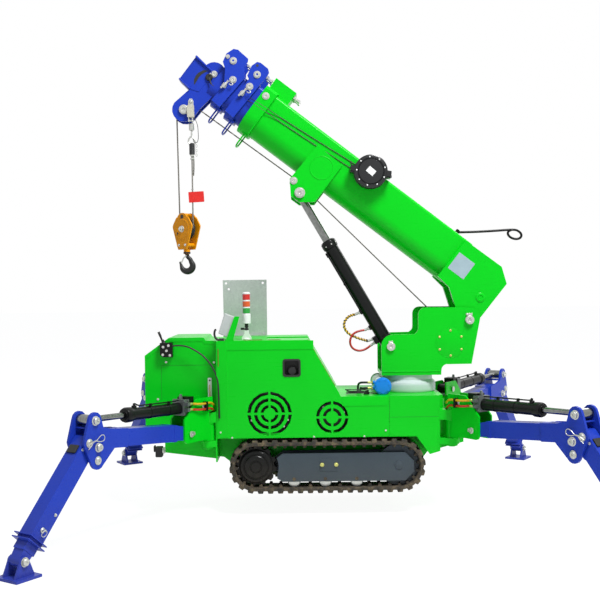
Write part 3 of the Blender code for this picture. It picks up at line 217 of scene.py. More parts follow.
def piece(name, body, look, shapes, place=None, edge=0.0, sharp=35.0):
    """A piece of the machine: its shapes as one mesh, moved to its place, with rounded edges, riding on a
    body. A hose that bends between two bodies is given none here."""
    shape = joined(shapes)
    bmesh.ops.recalc_face_normals(shape, faces=shape.faces)
    mesh = bpy.data.meshes.new(name)
    shape.to_mesh(mesh)
    shape.free()
    if place is not None:
        mesh.transform(place)
    mesh.materials.append(look)
    mesh.polygons.foreach_set("use_smooth", [True] * len(mesh.polygons))
    mesh.set_sharp_from_angle(angle=math.radians(sharp))
    made = bpy.data.objects.new(name, mesh)
    bpy.context.scene.collection.objects.link(made)
    if edge:
        round_edges(made, edge, sharp)
    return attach(made, body) if body else made


def slab(outline, low, high, axis="Y"):
    """A flat outline swept along one axis; its two numbers are the other two axes."""
    turn = {"X": lambda a, b, c: (c, a, b), "Y": lambda a, b, c: (a, c, b),
            "Z": lambda a, b, c: (a, b, c)}[axis]
    shape = bmesh.new()
    face = shape.faces.new([shape.verts.new(turn(a, b, low)) for a, b in outline])
    swept = bmesh.ops.extrude_face_region(shape, geom=[face])
    tips = [item for item in swept["geom"] if isinstance(item, bmesh.types.BMVert)]
    bmesh.ops.translate(shape, verts=tips, vec=Vector(turn(0, 0, high - low)))
    return shape


def block(low, high):
    """A box between its lowest and its highest corner."""
    return slab([(low[0], low[1]), (high[0], low[1]), (high[0], high[1]), (low[0], high[1])], low[2],
                high[2], "Z")


def lathe(profile, start, towards, sides=40):
    """A body of revolution from start, in the direction towards; its profile is (radius, distance) points."""
    turn = Vector((0, 0, 1)).rotation_difference(Vector(towards)).to_matrix().to_4x4()
    shape = bmesh.new()
    rings = []
    for radius, along in profile:
        count = sides if radius > 1e-6 else 1
        rings.append([shape.verts.new((radius * math.cos(2 * math.pi * i / sides),
                                       radius * math.sin(2 * math.pi * i / sides),
                                       along)) for i in range(count)])
    for low, high in zip(rings, rings[1:]):
        for i in range(sides):
            corners = [low[i % len(low)], low[(i + 1) % len(low)], high[(i + 1) % len(high)],
                       high[i % len(high)]]
            shape.faces.new(list(dict.fromkeys(corners)))
    for ring in (rings[0], rings[-1]):
        if len(ring) > 1:
            shape.faces.new(ring)
    bmesh.ops.transform(shape, matrix=Matrix.Translation(start) @ turn, verts=shape.verts)
    return shape


def loop_point(distance, proud):
    """A point of the track's loop and its height over the belt's outside, from the bottom left on."""
    straight, half_turn = IDLER_X - SPROCKET_X, math.pi * BELT_RADIUS
    distance %= 2 * (straight + half_turn)
    reach = BELT_RADIUS + proud
    if distance < straight:
        return SPROCKET_X + distance, MIDDLE_Z - reach
    if distance < straight + half_turn:
        turn = (distance - straight) / BELT_RADIUS - math.pi / 2
        return IDLER_X + reach * math.cos(turn), MIDDLE_Z + reach * math.sin(turn)
    if distance < 2 * straight + half_turn:
        return IDLER_X - (distance - straight - half_turn), MIDDLE_Z + reach
    turn = (distance - 2 * straight - half_turn) / BELT_RADIUS + math.pi / 2
    return SPROCKET_X + reach * math.cos(turn), MIDDLE_Z + reach * math.sin(turn)


LOOP = 2 * (IDLER_X - SPROCKET_X + math.pi * BELT_RADIUS)
PITCH = LOOP / LUGS


def belt(section, stations):
    """The closed band: a section of (across, proud) points carried round the loop."""
    shape = bmesh.new()
    rings = []
    for i in range(stations):
        ring = []
        for across, proud in section:
            x, z = loop_point(LOOP * i / stations, proud)
            ring.append(shape.verts.new((x, across, z)))
        rings.append(ring)
    for i in range(stations):
        near, far = rings[i], rings[(i + 1) % stations]
        for k in range(len(section)):
            m = (k + 1) % len(section)
            shape.faces.new((near[k], near[m], far[m], far[k]))
    return shape


def lug(middle, base, top, low, high, proud_base, proud_top, lean=0.004):
    """A moulded lug on the belt: its lengths along the loop at its foot and its tip, and its reach across."""
    shape = bmesh.new()
    corners = []
    for length, proud, inset in ((base, proud_base, 0.0), (top, proud_top, lean)):
        for along, across in ((-length / 2, low + inset), (length / 2, low + inset),
                              (length / 2, high - inset), (-length / 2, high - inset)):
            x, z = loop_point(middle + along, proud)
            corners.append(shape.verts.new((x, across, z)))
    for face in ((0, 1, 2, 3), (4, 5, 6, 7), (0, 1, 5, 4), (1, 2, 6, 5), (2, 3, 7, 6), (3, 0, 4, 7)):
        shape.faces.new([corners[k] for k in face])
    return shape


half = BELT_WIDTH / 2
for side, facing in (("near", -1), ("far", 1)):
    band = belt([(-half, -0.004), (0.006 - half, 0.0), (half - 0.006, 0.0), (half, -0.004), (half, -0.017),
                 (half - 0.008, -BELT_THICKNESS), (0.008 - half, -BELT_THICKNESS), (-half, -0.017)], LUGS * 8)
    ribs = []
    for i in range(LUGS):
        ribs.append(lug((i + 0.46) * PITCH, 0.046, 0.031, -half + 0.001, 0.012, -0.004, LUG_HEIGHT))
        ribs.append(lug((i + 0.96) * PITCH, 0.046, 0.031, -0.012, half - 0.001, -0.004, LUG_HEIGHT))
        x, z = loop_point((i + 0.46) * PITCH, 0)
        if min(abs(x - roller) for roller in ROLLER_X) > 0.075 or z > 0.3:
            for flank in (-0.052, 0.052):
                ribs.append(lug((i + 0.46) * PITCH, 0.030, 0.018, flank - 0.012, flank + 0.012,
                                -BELT_THICKNESS + 0.002, -BELT_THICKNESS - 0.020, 0.003))
    bands = piece(f"track_belt_{side}", "root", track_rubber_and_hole_shade, [band],
                  Matrix.Translation((0, facing * MIDDLE_Y, 0)) @ Matrix.Diagonal((1, -facing, 1, 1)),
                  sharp=50)
    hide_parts(f"track_{side}")
    teeth = piece(f"track_lugs_{side}", "root", track_rubber_and_hole_shade, ribs,
                  Matrix.Translation((0, facing * MIDDLE_Y, 0)) @ Matrix.Diagonal((1, -facing, 1, 1)),
                  edge=0.0025)

# Track frames. Welded steel boxes carry the sprocket's drive, three rollers and the idler, and are painted
# dark blue grey. A plate with two yellow-plated bolts covers the track's tension valve.


def sprayed_enamel(name, colour, deep, dust="6E6250", low=0.12, high=0.42, roughness=0.30, coat=0.05):
    """Two-coat enamel, sprayed on welded steel: glossy, faintly rippled like orange peel, a little paler and
    darker from spray pass to spray pass, with fine scuffs, and dusted towards the ground."""
    made, tree, skin, spot = new_look(name)
    passes = add(tree, "ShaderNodeTexNoise", {"Vector": spot.outputs["Object"]},
                 {"Scale": 3.5, "Detail": 3.0, "Roughness": 0.5})
    tone = add(tree, "ShaderNodeMix", {"Factor": passes.outputs["Fac"]}, data_type="RGBA")
    tone.inputs["A"].default_value = linear(deep)
    tone.inputs["B"].default_value = linear(colour)
    height = add(tree, "ShaderNodeSeparateXYZ", {"Vector": spot.outputs["Object"]})
    nearness = add(tree, "ShaderNodeMapRange", {"Value": height.outputs["Z"]},
                   {"From Min": high, "From Max": low, "To Min": 0.0, "To Max": 0.34})
    speckle = add(tree, "ShaderNodeTexNoise", {"Vector": spot.outputs["Object"]},
                  {"Scale": 34.0, "Detail": 6.0, "Roughness": 0.7})
    dusty = add(tree, "ShaderNodeMath", {0: nearness.outputs["Result"], 1: speckle.outputs["Fac"]},
                operation="MULTIPLY")
    dusted = add(tree, "ShaderNodeMix", {"Factor": dusty.outputs[0], "A": tone.outputs["Result"]},
                 data_type="RGBA")
    dusted.inputs["B"].default_value = linear(dust)
    tree.links.new(dusted.outputs["Result"], skin.inputs["Base Color"])
    stretched = add(tree, "ShaderNodeMapping", {"Vector": spot.outputs["Object"]},
                    {"Scale": (7.0, 60.0, 90.0)})
    scuffs = add(tree, "ShaderNodeTexNoise", {"Vector": stretched.outputs["Vector"]},
                 {"Scale": 1.0, "Detail": 8.0, "Roughness": 0.75})
    gloss = add(tree, "ShaderNodeMapRange", {"Value": scuffs.outputs["Fac"]},
                {"From Min": 0.35, "From Max": 0.75, "To Min": roughness - 0.05, "To Max": roughness + 0.16})
    tree.links.new(gloss.outputs["Result"], skin.inputs["Roughness"])
    # Real peel is 2 to 4 mm wide, and is drawn at 7 mm here to show.
    peel = add(tree, "ShaderNodeTexNoise", {"Vector": spot.outputs["Object"]},
               {"Scale": 150.0, "Detail": 1.0, "Roughness": 0.4})
    ripple = add(tree, "ShaderNodeBump", {"Height": peel.outputs["Fac"]},
                 {"Strength": 0.12, "Distance": 0.001})
    tree.links.new(ripple.outputs["Normal"], skin.inputs["Normal"])
    skin.inputs["IOR"].default_value = 1.5
    skin.inputs["Specular IOR Level"].default_value = 0.14
    skin.inputs["Coat Weight"].default_value = coat
    skin.inputs["Coat Roughness"].default_value = 0.12
    return made


def dress(look, *names, edge=0.002):
    """Gives CAD nodes a finish, and rounds their edges as a grinder leaves them."""
    for name in names:
        cad = nodes[name]
        for socket in cad.material_slots:
            socket.material = look
        welded = cad.modifiers.new("one_skin", "WELD")
        welded.merge_threshold = 0.00002
        plain = cad.modifiers.new("flat_faces", "DECIMATE")
        plain.decimate_type = "DISSOLVE"
        plain.angle_limit = math.radians(0.6)
        round_edges(cad, edge, 38.0)


frame_enamel = sprayed_enamel("blue_grey_frame_enamel", "47525A", "3B454C", roughness=0.34)
black_enamel = sprayed_enamel("black_cast_enamel", "0E100F", "080909", roughness=0.34, coat=0.12)
dress(frame_enamel, "track_frame_near", "track_frame_far")
dress(black_enamel, "sprocket_near", "sprocket_far", edge=0.0015)


def two_tones(tree, skin, share, deep, colour):
    """Gives a material a base colour between two, by a texture's share."""
    tone = add(tree, "ShaderNodeMix", {"Factor": share}, data_type="RGBA")
    tone.inputs["A"].default_value = linear(deep)
    tone.inputs["B"].default_value = linear(colour)
    tree.links.new(tone.outputs["Result"], skin.inputs["Base Color"])


# Zinc-plated steel of pins, bolts and rollers: pale grey metal, slightly clouded by the plating bath.
zinc_plate, tree, skin, spot = new_look("zinc_plated_steel")
cloud = add(tree, "ShaderNodeTexNoise", {"Vector": spot.outputs["Object"]}, {"Scale": 90.0, "Detail": 3.0})
two_tones(tree, skin, cloud.outputs["Fac"], "A9AAA4", "DADBD6")
dull = add(tree, "ShaderNodeMapRange", {"Value": cloud.outputs["Fac"]}, {"To Min": 0.26, "To Max": 0.46})
tree.links.new(dull.outputs["Result"], skin.inputs["Roughness"])
skin.inputs["Metallic"].default_value = 0.75

# Yellow chromate plating of the small bolts: the same steel under a thin gold-green film.
yellow_plate = zinc_plate.copy()
yellow_plate.name = "yellow_chromate_plated_steel"
yellow_tone = next(n for n in yellow_plate.node_tree.nodes if n.type == "MIX")
yellow_tone.inputs["A"].default_value = linear("A8A64E")
yellow_tone.inputs["B"].default_value = linear("D8D88A")


def bolt(place, towards, size):
    """A hexagon bolt on its washer; size is the thread's diameter."""
    washer = lathe([(size * 1.05, 0), (size * 1.10, size * 0.05), (size * 1.10, size * 0.14),
                    (size * 1.0, size * 0.18), (0, size * 0.18)], place, towards, 20)
    head = lathe([(size * 0.90, size * 0.15), (size * 0.92, size * 0.72), (size * 0.80, size * 0.80),
                  (0, size * 0.80)], place, towards, 6)
    return joined([washer, head])


def pin_head(place, towards, radius, proud=0.014):
    """The end of a turned steel pin: a chamfered rim, a shallow lathe centre and a grease nipple's seat."""
    return lathe([(radius, -0.004), (radius, proud * 0.72), (radius * 0.86, proud), (radius * 0.36, proud),
                  (radius * 0.26, proud * 0.55), (0, proud * 0.5)], place, towards, 28)


for side, facing in (("near", -1), ("far", 1)):
    out = (0, facing, 0)
    face = facing * (MIDDLE_Y + 0.075)
    fitted = [bolt((x, face + facing * 0.002, 0.355), out, 0.013) for x in (-0.0613, 0.0374)]
    yellow = piece(f"tension_cover_bolts_{side}", "root", yellow_plate, fitted)
    near_y, far_y = sorted((face - facing * 0.001, face + facing * 0.0025))
    cover = piece(f"tension_cover_{side}", "root", frame_enamel,
                  [slab([(-0.076, 0.310), (0.051, 0.310), (0.051, 0.397), (-0.076, 0.397)], near_y,
                        far_y)], edge=0.001)
    # Small dark discs at the rollers are painted shade: they stand for the dark roller holes in the frame's
    # face.
    hole_shade_discs = piece(f"roller_hole_shades_{side}", "root", track_rubber_and_hole_shade,
                  [lathe([(0.012, 0), (0.012, 0.0025), (0.006, 0.003), (0, 0.0015)], (x, face, 0.2563),
                         out, 20)
                   for x in ROLLER_X])
    hub_y = facing * (MIDDLE_Y + 0.065)
    drive = [lathe([(0.114, -0.004), (0.114, 0.002), (0.106, 0.008), (0.090, 0.008), (0.088, 0.004),
                    (0.082, 0.004),
                    (0.080, 0.014), (0.074, 0.0185), (0.044, 0.0185), (0.041, 0.015), (0.036, 0.015),
                    (0.033, 0.021), (0.012, 0.022), (0, 0.019)], (SPROCKET_X, hub_y, MIDDLE_Z), out, 56)]
    for count, ring, size, start in ((9, 0.098, 0.010, 0.006), (6, 0.060, 0.008, 0.018)):
        for i in range(count):
            turn = 2 * math.pi * (i + 0.3) / count
            drive.append(bolt((SPROCKET_X + ring * math.cos(turn), hub_y + facing * start,
                               MIDDLE_Z + ring * math.sin(turn)), out, size))
    drives = piece(f"drive_cover_{side}", "root", black_enamel, drive)
    rims = []
    for x in ROLLER_X:
        for start, towards in ((MIDDLE_Y + 0.071, -1), (MIDDLE_Y - 0.071, 1)):
            rims.append(lathe([(0.020, 0), (0.040, 0.001), (0.0452, 0.005), (0.0452, 0.040), (0.038, 0.044)],
                              (x, facing * start, 0.2443), (0, facing * towards, 0), 32))
    treads = piece(f"roller_rims_{side}", "root", zinc_plate, rims)
    idler = [lathe([(0.060, 0.0), (0.060, 0.006), (0.050, 0.010), (0.030, 0.011), (0.026, 0.006), (0, 0.006)],
                   (IDLER_X, facing * (MIDDLE_Y + 0.0375), MIDDLE_Z), out, 36),
             lathe([(0.030, 0.0), (0.030, 0.003), (0.024, 0.006), (0, 0.006)], (IDLER_X, face, MIDDLE_Z),
                   out, 28)]
    hubs = piece(f"idler_hub_{side}", "root", frame_enamel, idler)

green_enamel = sprayed_enamel("green_two_coat_enamel", "00CE1C", "00C41A", low=0.1, high=0.5)
blue_enamel = sprayed_enamel("blue_two_coat_enamel", "2341BC", "1B36A4", low=0.02, high=0.4)
for node, slot_name in [(row["node"], row["material_slot"]) for row in frame["record"]["subparts"]]:
    if slot_name == "green_paint":
        dress(green_enamel, node)
    if slot_name == "blue_paint" and node != "slew_motor":
        dress(blue_enamel, node)

# Outriggers. Each swings on the chassis, and has a box arm, a folding leg with a sliding inner leg, a foot
# and a lift cylinder. The pins are plated steel, and an R-clip joins the leg's hinge pin to its lock pin.
YAW_DEG = 56.5
SWING_AT = (0.85, 0.35)
CORNERS = {"left_near": (-1, -1), "left_far": (-1, 1), "right_near": (1, -1), "right_far": (1, 1)}
LIFT_AT, BASE_AT, ROD_AT = (0.268, 0.616), (0.135, 0.786), (1.160, 0.815)
HINGE_AT, LOCK_AT, SPARE_AT = (1.137, 0.653), (1.210, 0.688), (1.142, 0.575)
LEAN = math.radians(41.5)
LEG_MIDDLE, FOOT_DOWN = 0.045, 0.782
RISE = math.atan2(ROD_AT[1] - BASE_AT[1], ROD_AT[0] - BASE_AT[0])
ARM_START, ARM_END = (0.40, 0.6363), (1.03, 0.690)
ARM_RISE = math.atan2(ARM_END[1] - ARM_START[1], ARM_END[0] - ARM_START[0])
ARM_HALF = (0.058, 0.054)
HOSE_RADIUS = 0.0078


def frame_of(along, across, up, place):
    """The matrix of three axes at a place."""
    made = Matrix((along, across, up)).transposed().to_4x4()
    made.translation = place
    return made


def corner_place(sign_x, sign_y):
    """From an outrigger's own axes, out along the arm, sideways and up, to the machine's."""
    out = Vector((sign_x * math.cos(math.radians(YAW_DEG)), sign_y * math.sin(math.radians(YAW_DEG)), 0))
    return frame_of(out, Vector((-out.y, out.x, 0)), Vector((0, 0, 1)),
                    (sign_x * SWING_AT[0], sign_y * SWING_AT[1], 0))


def smooth_path(points, steps=8, closed=False):
    """A curve through the points, as a hose or a bent wire takes."""
    points = [Vector(p) for p in points]
    count = len(points)
    path = []
    for i in range(count if closed else count - 1):
        if closed:
            a, b, c, d = (points[(i + k) % count] for k in (-1, 0, 1, 2))
        else:
            a, b, c, d = (points[min(max(i + k, 0), count - 1)] for k in (-1, 0, 1, 2))
        for j in range(steps):
            t = j / steps
            path.append(0.5 * ((2 * b) + (c - a) * t + (2 * a - 5 * b + 4 * c - d) * t * t
                               + (3 * b - a - 3 * c + d) * t * t * t))
    return path if closed else path + [points[-1]]


def tube(path, radius, sides=10, closed=False):
    """A round bar, wire or hose along a path of points; radius may change along it."""
    shape = bmesh.new()
    count = len(path)
    rings = []
    side = None
    for i, point in enumerate(path):
        before = path[i - 1] if i or closed else path[0]
        after = path[(i + 1) % count] if i < count - 1 or closed else path[-1]
        ahead = (after - before).normalized()
        if side is None:
            side = ahead.orthogonal().normalized()
        side = (side - ahead * side.dot(ahead)).normalized()
        up = ahead.cross(side)
        thick = radius(i / max(count - 1, 1)) if callable(radius) else radius
        rings.append([shape.verts.new(point + thick * (math.cos(2 * math.pi * k / sides) * side
                                                       + math.sin(2 * math.pi * k / sides) * up))
                      for k in range(sides)])
    for i in range(count if closed else count - 1):
        low, high = rings[i], rings[(i + 1) % count]
        for k in range(sides):
            shape.faces.new((low[k], low[(k + 1) % sides], high[(k + 1) % sides], high[k]))
    if not closed:
        shape.faces.new(list(reversed(rings[0])))
        shape.faces.new(rings[-1])
    return shape


# Hard chrome on a ground rod: a mirror with very fine turning marks, which are not drawn; its film is a little
# paler and darker in patches.
hard_chrome, tree, skin, spot = new_look("hard_chrome_ground_rod")
film = add(tree, "ShaderNodeTexNoise", {"Vector": spot.outputs["Object"]}, {"Scale": 45.0, "Detail": 4.0})
two_tones(tree, skin, film.outputs["Fac"], "5E615E", "9A9C99")
smear = add(tree, "ShaderNodeMapRange", {"Value": film.outputs["Fac"]}, {"To Min": 0.10, "To Max": 0.30})
tree.links.new(smear.outputs["Result"], skin.inputs["Roughness"])
skin.inputs["Metallic"].default_value = 1.0


def moulded(name, colour, deep, roughness, scale=240.0, depth=0.0006):
    """Moulded rubber or plastic: one colour with a little mottle, and the fine grain of its mould."""
    made, tree, skin, spot = new_look(name)
    mottle = add(tree, "ShaderNodeTexNoise", {"Vector": spot.outputs["Object"]},
                 {"Scale": 18.0, "Detail": 5.0})
    two_tones(tree, skin, mottle.outputs["Fac"], deep, colour)
    sheen = add(tree, "ShaderNodeMapRange", {"Value": mottle.outputs["Fac"]},
                {"To Min": roughness - 0.08, "To Max": roughness + 0.10})
    tree.links.new(sheen.outputs["Result"], skin.inputs["Roughness"])
    grain = add(tree, "ShaderNodeTexNoise", {"Vector": spot.outputs["Object"]},
                {"Scale": scale, "Detail": 2.0})
    relief = add(tree, "ShaderNodeBump", {"Height": grain.outputs["Fac"]},
                 {"Strength": 0.35, "Distance": depth})
    tree.links.new(relief.outputs["Normal"], skin.inputs["Normal"])
    skin.inputs["IOR"].default_value = 1.5
    return made


hose_rubber = moulded("wrapped_hose_rubber", "1D1E1D", "0E0F0F", 0.50)
yellow_hose = moulded("yellow_thermoplastic_hose", "E0B41E", "C4940F", 0.34)
red_hose = moulded("red_thermoplastic_hose", "C22A18", "A01C10", 0.34)
buffer_rubber = moulded("moulded_buffer_rubber", "1A1B1A", "0D0E0E", 0.62)
cast_valve = moulded("anodised_valve_aluminium", "6E7472", "5A605E", 0.40)
cast_valve.node_tree.nodes["Principled BSDF"].inputs["Metallic"].default_value = 0.45


def fitting(place, towards, size=0.011):
    """A crimped hose end: a hexagon nut, a swaged sleeve and its collar."""
    return joined([lathe([(size * 1.15, 0), (size * 1.25, size * 0.2), (size * 1.25, size * 1.3),
                          (size * 1.1, size * 1.5)], place, towards, 6),
                   lathe([(size * 0.8, size * 1.3), (size * 0.8, size * 1.9), (size * 1.0, size * 2.1),
                          (size * 1.0, size * 4.2), (size * 0.85, size * 4.4)], place, towards, 20)])


for corner, (sign_x, sign_y) in CORNERS.items():
    place = corner_place(sign_x, sign_y)
    seen_side = sign_x * sign_y

    # The swing bracket: pins of the arm and the cylinder, each held by a keeper plate and one bolt.
    heads, keepers = [], []
    for x, z in (LIFT_AT, BASE_AT):
        for facing in (-1, 1):
            heads.append(pin_head((x, facing * 0.0715, z), (0, facing, 0), 0.021, 0.004))
        low, high = sorted((seen_side * 0.062, seen_side * 0.067))
        keepers.append(slab([(x - 0.040, z - 0.012), (x - 0.015, z - 0.012), (x - 0.015, z + 0.012),
                             (x - 0.040, z + 0.012)], low, high))
        keepers.append(bolt((x - 0.030, seen_side * 0.066, z), (0, seen_side, 0), 0.008))
    pins = piece(f"bracket_pins_{corner}", f"bracket_{corner}", zinc_plate, heads, place)
    plates = piece(f"bracket_keepers_{corner}", f"bracket_{corner}", zinc_plate, keepers, place, edge=0.0008)
    post = piece(f"swing_pin_{corner}", "root", zinc_plate,
                 [lathe([(0.030, 0.0), (0.030, 0.006), (0.026, 0.010), (0.010, 0.010), (0.008, 0.006),
                         (0, 0.006)],
                        (sign_x * SWING_AT[0], sign_y * SWING_AT[1], 0.7375), (0, 0, 1), 32),
                  bolt((sign_x * SWING_AT[0], sign_y * SWING_AT[1], 0.745), (0, 0, 1), 0.012)])

    # The arm: a wear sleeve and a weld plug on the box, and the heads of the four pins in its end plates.
    heads = []
    for (x, z), radius in ((HINGE_AT, 0.0225), (LOCK_AT, 0.0200), (ROD_AT, 0.0225), (SPARE_AT, 0.0200)):
        for facing in (-1, 1):
            start = 0.0835 if (x, z) in (HINGE_AT, ROD_AT) else 0.0745
            heads.append(pin_head((x, facing * start, z), (0, facing, 0), radius, 0.012))
            heads.append(lathe([(radius + 0.006, 0), (radius + 0.006, 0.004), (radius + 0.003, 0.006),
                                (0, 0.006)], (x, facing * 0.0735, z), (0, facing, 0), 28))
    pins = piece(f"arm_pins_{corner}", f"arm_{corner}", zinc_plate, heads, place)
    clip_y = seen_side * 0.0935
    wire = [(1.236, clip_y, 0.655), (1.214, clip_y, 0.672), (LOCK_AT[0] - 0.012, clip_y, 0.690),
            (1.168, clip_y, 0.702), (1.141, clip_y, 0.722), (1.118, clip_y, 0.728), (1.104, clip_y, 0.716),
            (1.106, clip_y, 0.698), (1.124, clip_y, 0.690), (1.150, clip_y, 0.692), (1.180, clip_y, 0.700),
            (LOCK_AT[0], clip_y + seen_side * 0.004, LOCK_AT[1] + 0.006), (1.236, clip_y, 0.678)]
    clip = piece(f"lock_clip_{corner}", f"arm_{corner}", zinc_plate,
                 [tube(smooth_path(wire, 5), 0.0026, 8)], place)
    sleeve = []
    for start, end, proud in ((0.868, 0.925, 0.0028), (0.421, 0.432, 0.002)):
        tilted = Matrix.Translation((ARM_START[0], 0, ARM_START[1])) @ Matrix.Rotation(-ARM_RISE, 4, "Y")
        half_y, half_z = ARM_HALF[0] + proud, ARM_HALF[1] + proud
        shape = slab([(-half_y, -half_z), (half_y, -half_z), (half_y, half_z), (-half_y, half_z)],
                     (start - ARM_START[0]) / math.cos(ARM_RISE),
                     (end - ARM_START[0]) / math.cos(ARM_RISE), "X")
        bmesh.ops.transform(shape, matrix=tilted, verts=shape.verts)
        sleeve.append(shape)
    plug_z = ARM_START[1] + (0.95 - ARM_START[0]) * math.tan(ARM_RISE)
    for facing in (-1, 1):
        sleeve.append(lathe([(0.022, -0.002), (0.022, 0.0015), (0.017, 0.0032), (0.013, 0.0012), (0, 0.0012)],
                            (0.95, facing * ARM_HALF[0], plug_z), (0, facing, 0), 28))
    sleeve.append(slab([(1.078, 0.768), (1.196, 0.768), (1.196, 0.776), (1.078, 0.776)], -0.0575, 0.0575))
    welded = piece(f"arm_sleeve_{corner}", f"arm_{corner}", blue_enamel, sleeve, place, edge=0.0012)

    # The leg: rubber buffer under its hinge, a spring pin on its mouth, and a hex plug in its side.
    leg_place = (place @ Matrix.Translation((HINGE_AT[0], 0, HINGE_AT[1])) @ Matrix.Rotation(-LEAN, 4, "Y"))
    pull = [lathe([(0.016, -0.003), (0.016, 0.006), (0.011, 0.010), (0.0085, 0.010), (0.0085, 0.026),
                   (0.0060, 0.030), (0, 0.030)], (LEG_MIDDLE, seen_side * 0.050, -0.585),
                   (0, seen_side, 0), 24)]
    ring = [(LEG_MIDDLE + 0.016 * math.cos(t), seen_side * 0.080 + 0.004 * math.sin(t),
             -0.603 + 0.018 * math.sin(t))
            for t in [2 * math.pi * i / 12 for i in range(12)]]
    pull.append(tube(smooth_path(ring, 2, True), 0.0022, 8, True))
    for x, z in ((LEG_MIDDLE + 0.034, -0.070), (LEG_MIDDLE - 0.030, -0.470)):
        pull.append(bolt((x, seen_side * 0.0502, z), (0, seen_side, 0), 0.009))
    spring_pin = piece(f"leg_pin_{corner}", f"leg_{corner}", zinc_plate, pull, leg_place)
    pad = piece(f"leg_buffer_{corner}", f"leg_{corner}", buffer_rubber,
                [block((LEG_MIDDLE + 0.055, -0.036, -0.112), (LEG_MIDDLE + 0.066, 0.036, -0.058))],
                leg_place, edge=0.003)

    # The foot's pin, with a washer on each side.
    foot_place = leg_place @ Matrix.Translation((LEG_MIDDLE, 0, -FOOT_DOWN)) @ Matrix.Rotation(LEAN, 4, "Y")
    heads = []
    for facing in (-1, 1):
        heads.append(pin_head((0, facing * 0.0615, 0), (0, facing, 0), 0.021, 0.009))
        heads.append(lathe([(0.027, 0), (0.027, 0.003), (0, 0.003)], (0, facing * 0.0532, 0),
                           (0, facing, 0), 28))
    pins = piece(f"foot_pin_{corner}", f"foot_{corner}", zinc_plate, heads, foot_place)

    # The lift cylinder: a screwed gland with a wiper, welded ports, and a lock valve on the barrel's base,
    # with its oil pipe clipped along the barrel.
    axis_place = place @ Matrix.Translation((BASE_AT[0], 0, BASE_AT[1])) @ Matrix.Rotation(-RISE, 4, "Y")
    gland = [lathe([(0.0395, 0.0), (0.0470, 0.006), (0.0480, 0.030), (0.0480, 0.052), (0.0440, 0.060),
                    (0.0320, 0.062), (0.0300, 0.068), (0.0215, 0.069), (0.0212, 0.060)], (0.640, 0, 0),
                    (1, 0, 0), 36),
             lathe([(0.0395, -0.004), (0.0425, 0.002), (0.0425, 0.008), (0.0395, 0.014)], (0.036, 0, 0),
                   (1, 0, 0), 36)]
    for along in (0.080, 0.615):
        gland.append(lathe([(0.017, 0.030), (0.017, 0.052), (0.014, 0.054), (0, 0.054)], (along, 0, 0),
                           (0, 0, 1), 20))
    painted = piece(f"cylinder_gland_{corner}", f"barrel_{corner}", black_enamel, gland, axis_place,
                    edge=0.0008)
    valve = [block((0.134, -0.0485, -0.047), (0.190, 0.0485, 0.060)),
             lathe([(0.013, 0), (0.013, 0.014), (0.010, 0.018), (0.010, 0.030), (0.007, 0.033), (0, 0.033)],
                   (0.162, 0, 0.060), (0, 0, 1), 6)]
    for z in (-0.036, 0.048):
        for x in (0.143, 0.181):
            valve.append(bolt((x, seen_side * 0.0483, z), (0, seen_side, 0), 0.007))
    for z in (-0.008, 0.030):
        elbow = sorted((seen_side * 0.046, seen_side * 0.080))
        valve.append(block((0.158, elbow[0], z - 0.011), (0.182, elbow[1], z + 0.011)))
    lock_valve = piece(f"lock_valve_{corner}", f"barrel_{corner}", cast_valve, valve, axis_place, edge=0.0012)
    pipe = [(0.186, 0.0, 0.054), (0.210, 0.004, 0.054), (0.235, 0.014, 0.0530), (0.30, 0.016, 0.052),
            (0.45, 0.016, 0.052), (0.57, 0.015, 0.052), (0.598, 0.008, 0.058), (0.612, 0.0, 0.066),
            (0.615, 0.0, 0.052)]
    pipes = [tube(smooth_path(pipe, 5), 0.0048, 10),
             lathe([(0.0085, 0), (0.0085, 0.016)], (0.615, 0, 0.052), (0, 0, 1), 6)]
    for along in (0.30, 0.48):
        pipes.append(lathe([(0.0400, -0.007), (0.0418, -0.007), (0.0418, 0.007), (0.0400, 0.007)],
                           (along, 0, 0), (1, 0, 0), 36))
        pipes.append(block((along - 0.007, 0.008, 0.038), (along + 0.007, 0.024, 0.0585)))
    run = piece(f"cylinder_pipe_{corner}", f"barrel_{corner}", black_enamel, pipes, axis_place)
    ends = [fitting((0.159, seen_side * 0.069, z), (-1, 0, 0.0), 0.0085) for z in (-0.008, 0.030)]
    ports = piece(f"valve_fittings_{corner}", f"barrel_{corner}", yellow_plate, ends, axis_place)

    # Two short hoses from the valve to the clamp beside the cylinder's pin, and on to the chassis.
    for k, (look, slot_name, z) in enumerate(((red_hose, "yellow_paint", 0.778),
                                              (yellow_hose, "yellow_paint", 0.816))):
        side = seen_side * 0.069
        first = [(0.258, side, z + 0.002), (0.235, side, z), (0.205, side + seen_side * 0.010, z - 0.004),
                 (0.165, side + seen_side * 0.016, z - 0.006), (0.128, side + seen_side * 0.014, z - 0.008)]
        short = piece(f"valve_hose_{corner}_{k}", None, look,
                      [tube(smooth_path(first, 5), HOSE_RADIUS, 12)], place)
        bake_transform(short)
        second = [(0.128, side + seen_side * 0.014, z - 0.008), (0.105, side + seen_side * 0.012, z - 0.008),
                  (0.070, side, z - 0.010), (0.030, side * 0.85, z - 0.020), (-0.012, side * 0.45, z - 0.036),
                  (-0.050, side * 0.10, z - 0.046)]
        run = piece(f"swing_hose_{corner}_{k}", None, look,
                    [tube(smooth_path(second, 5), HOSE_RADIUS, 12)], place)
        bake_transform(run)
    clamp_y = sorted((seen_side * 0.061, seen_side * 0.096))
    clamp = piece(f"hose_clamp_{corner}", f"bracket_{corner}", black_enamel,
                  [block((0.119, clamp_y[0], 0.757), (0.137, clamp_y[1], 0.822))], place, edge=0.003)

dress(black_enamel, *[f"barrel_{corner}" for corner in CORNERS], edge=0.0015)
dress(hard_chrome, *[f"rod_{corner}" for corner in CORNERS], edge=0.0015)

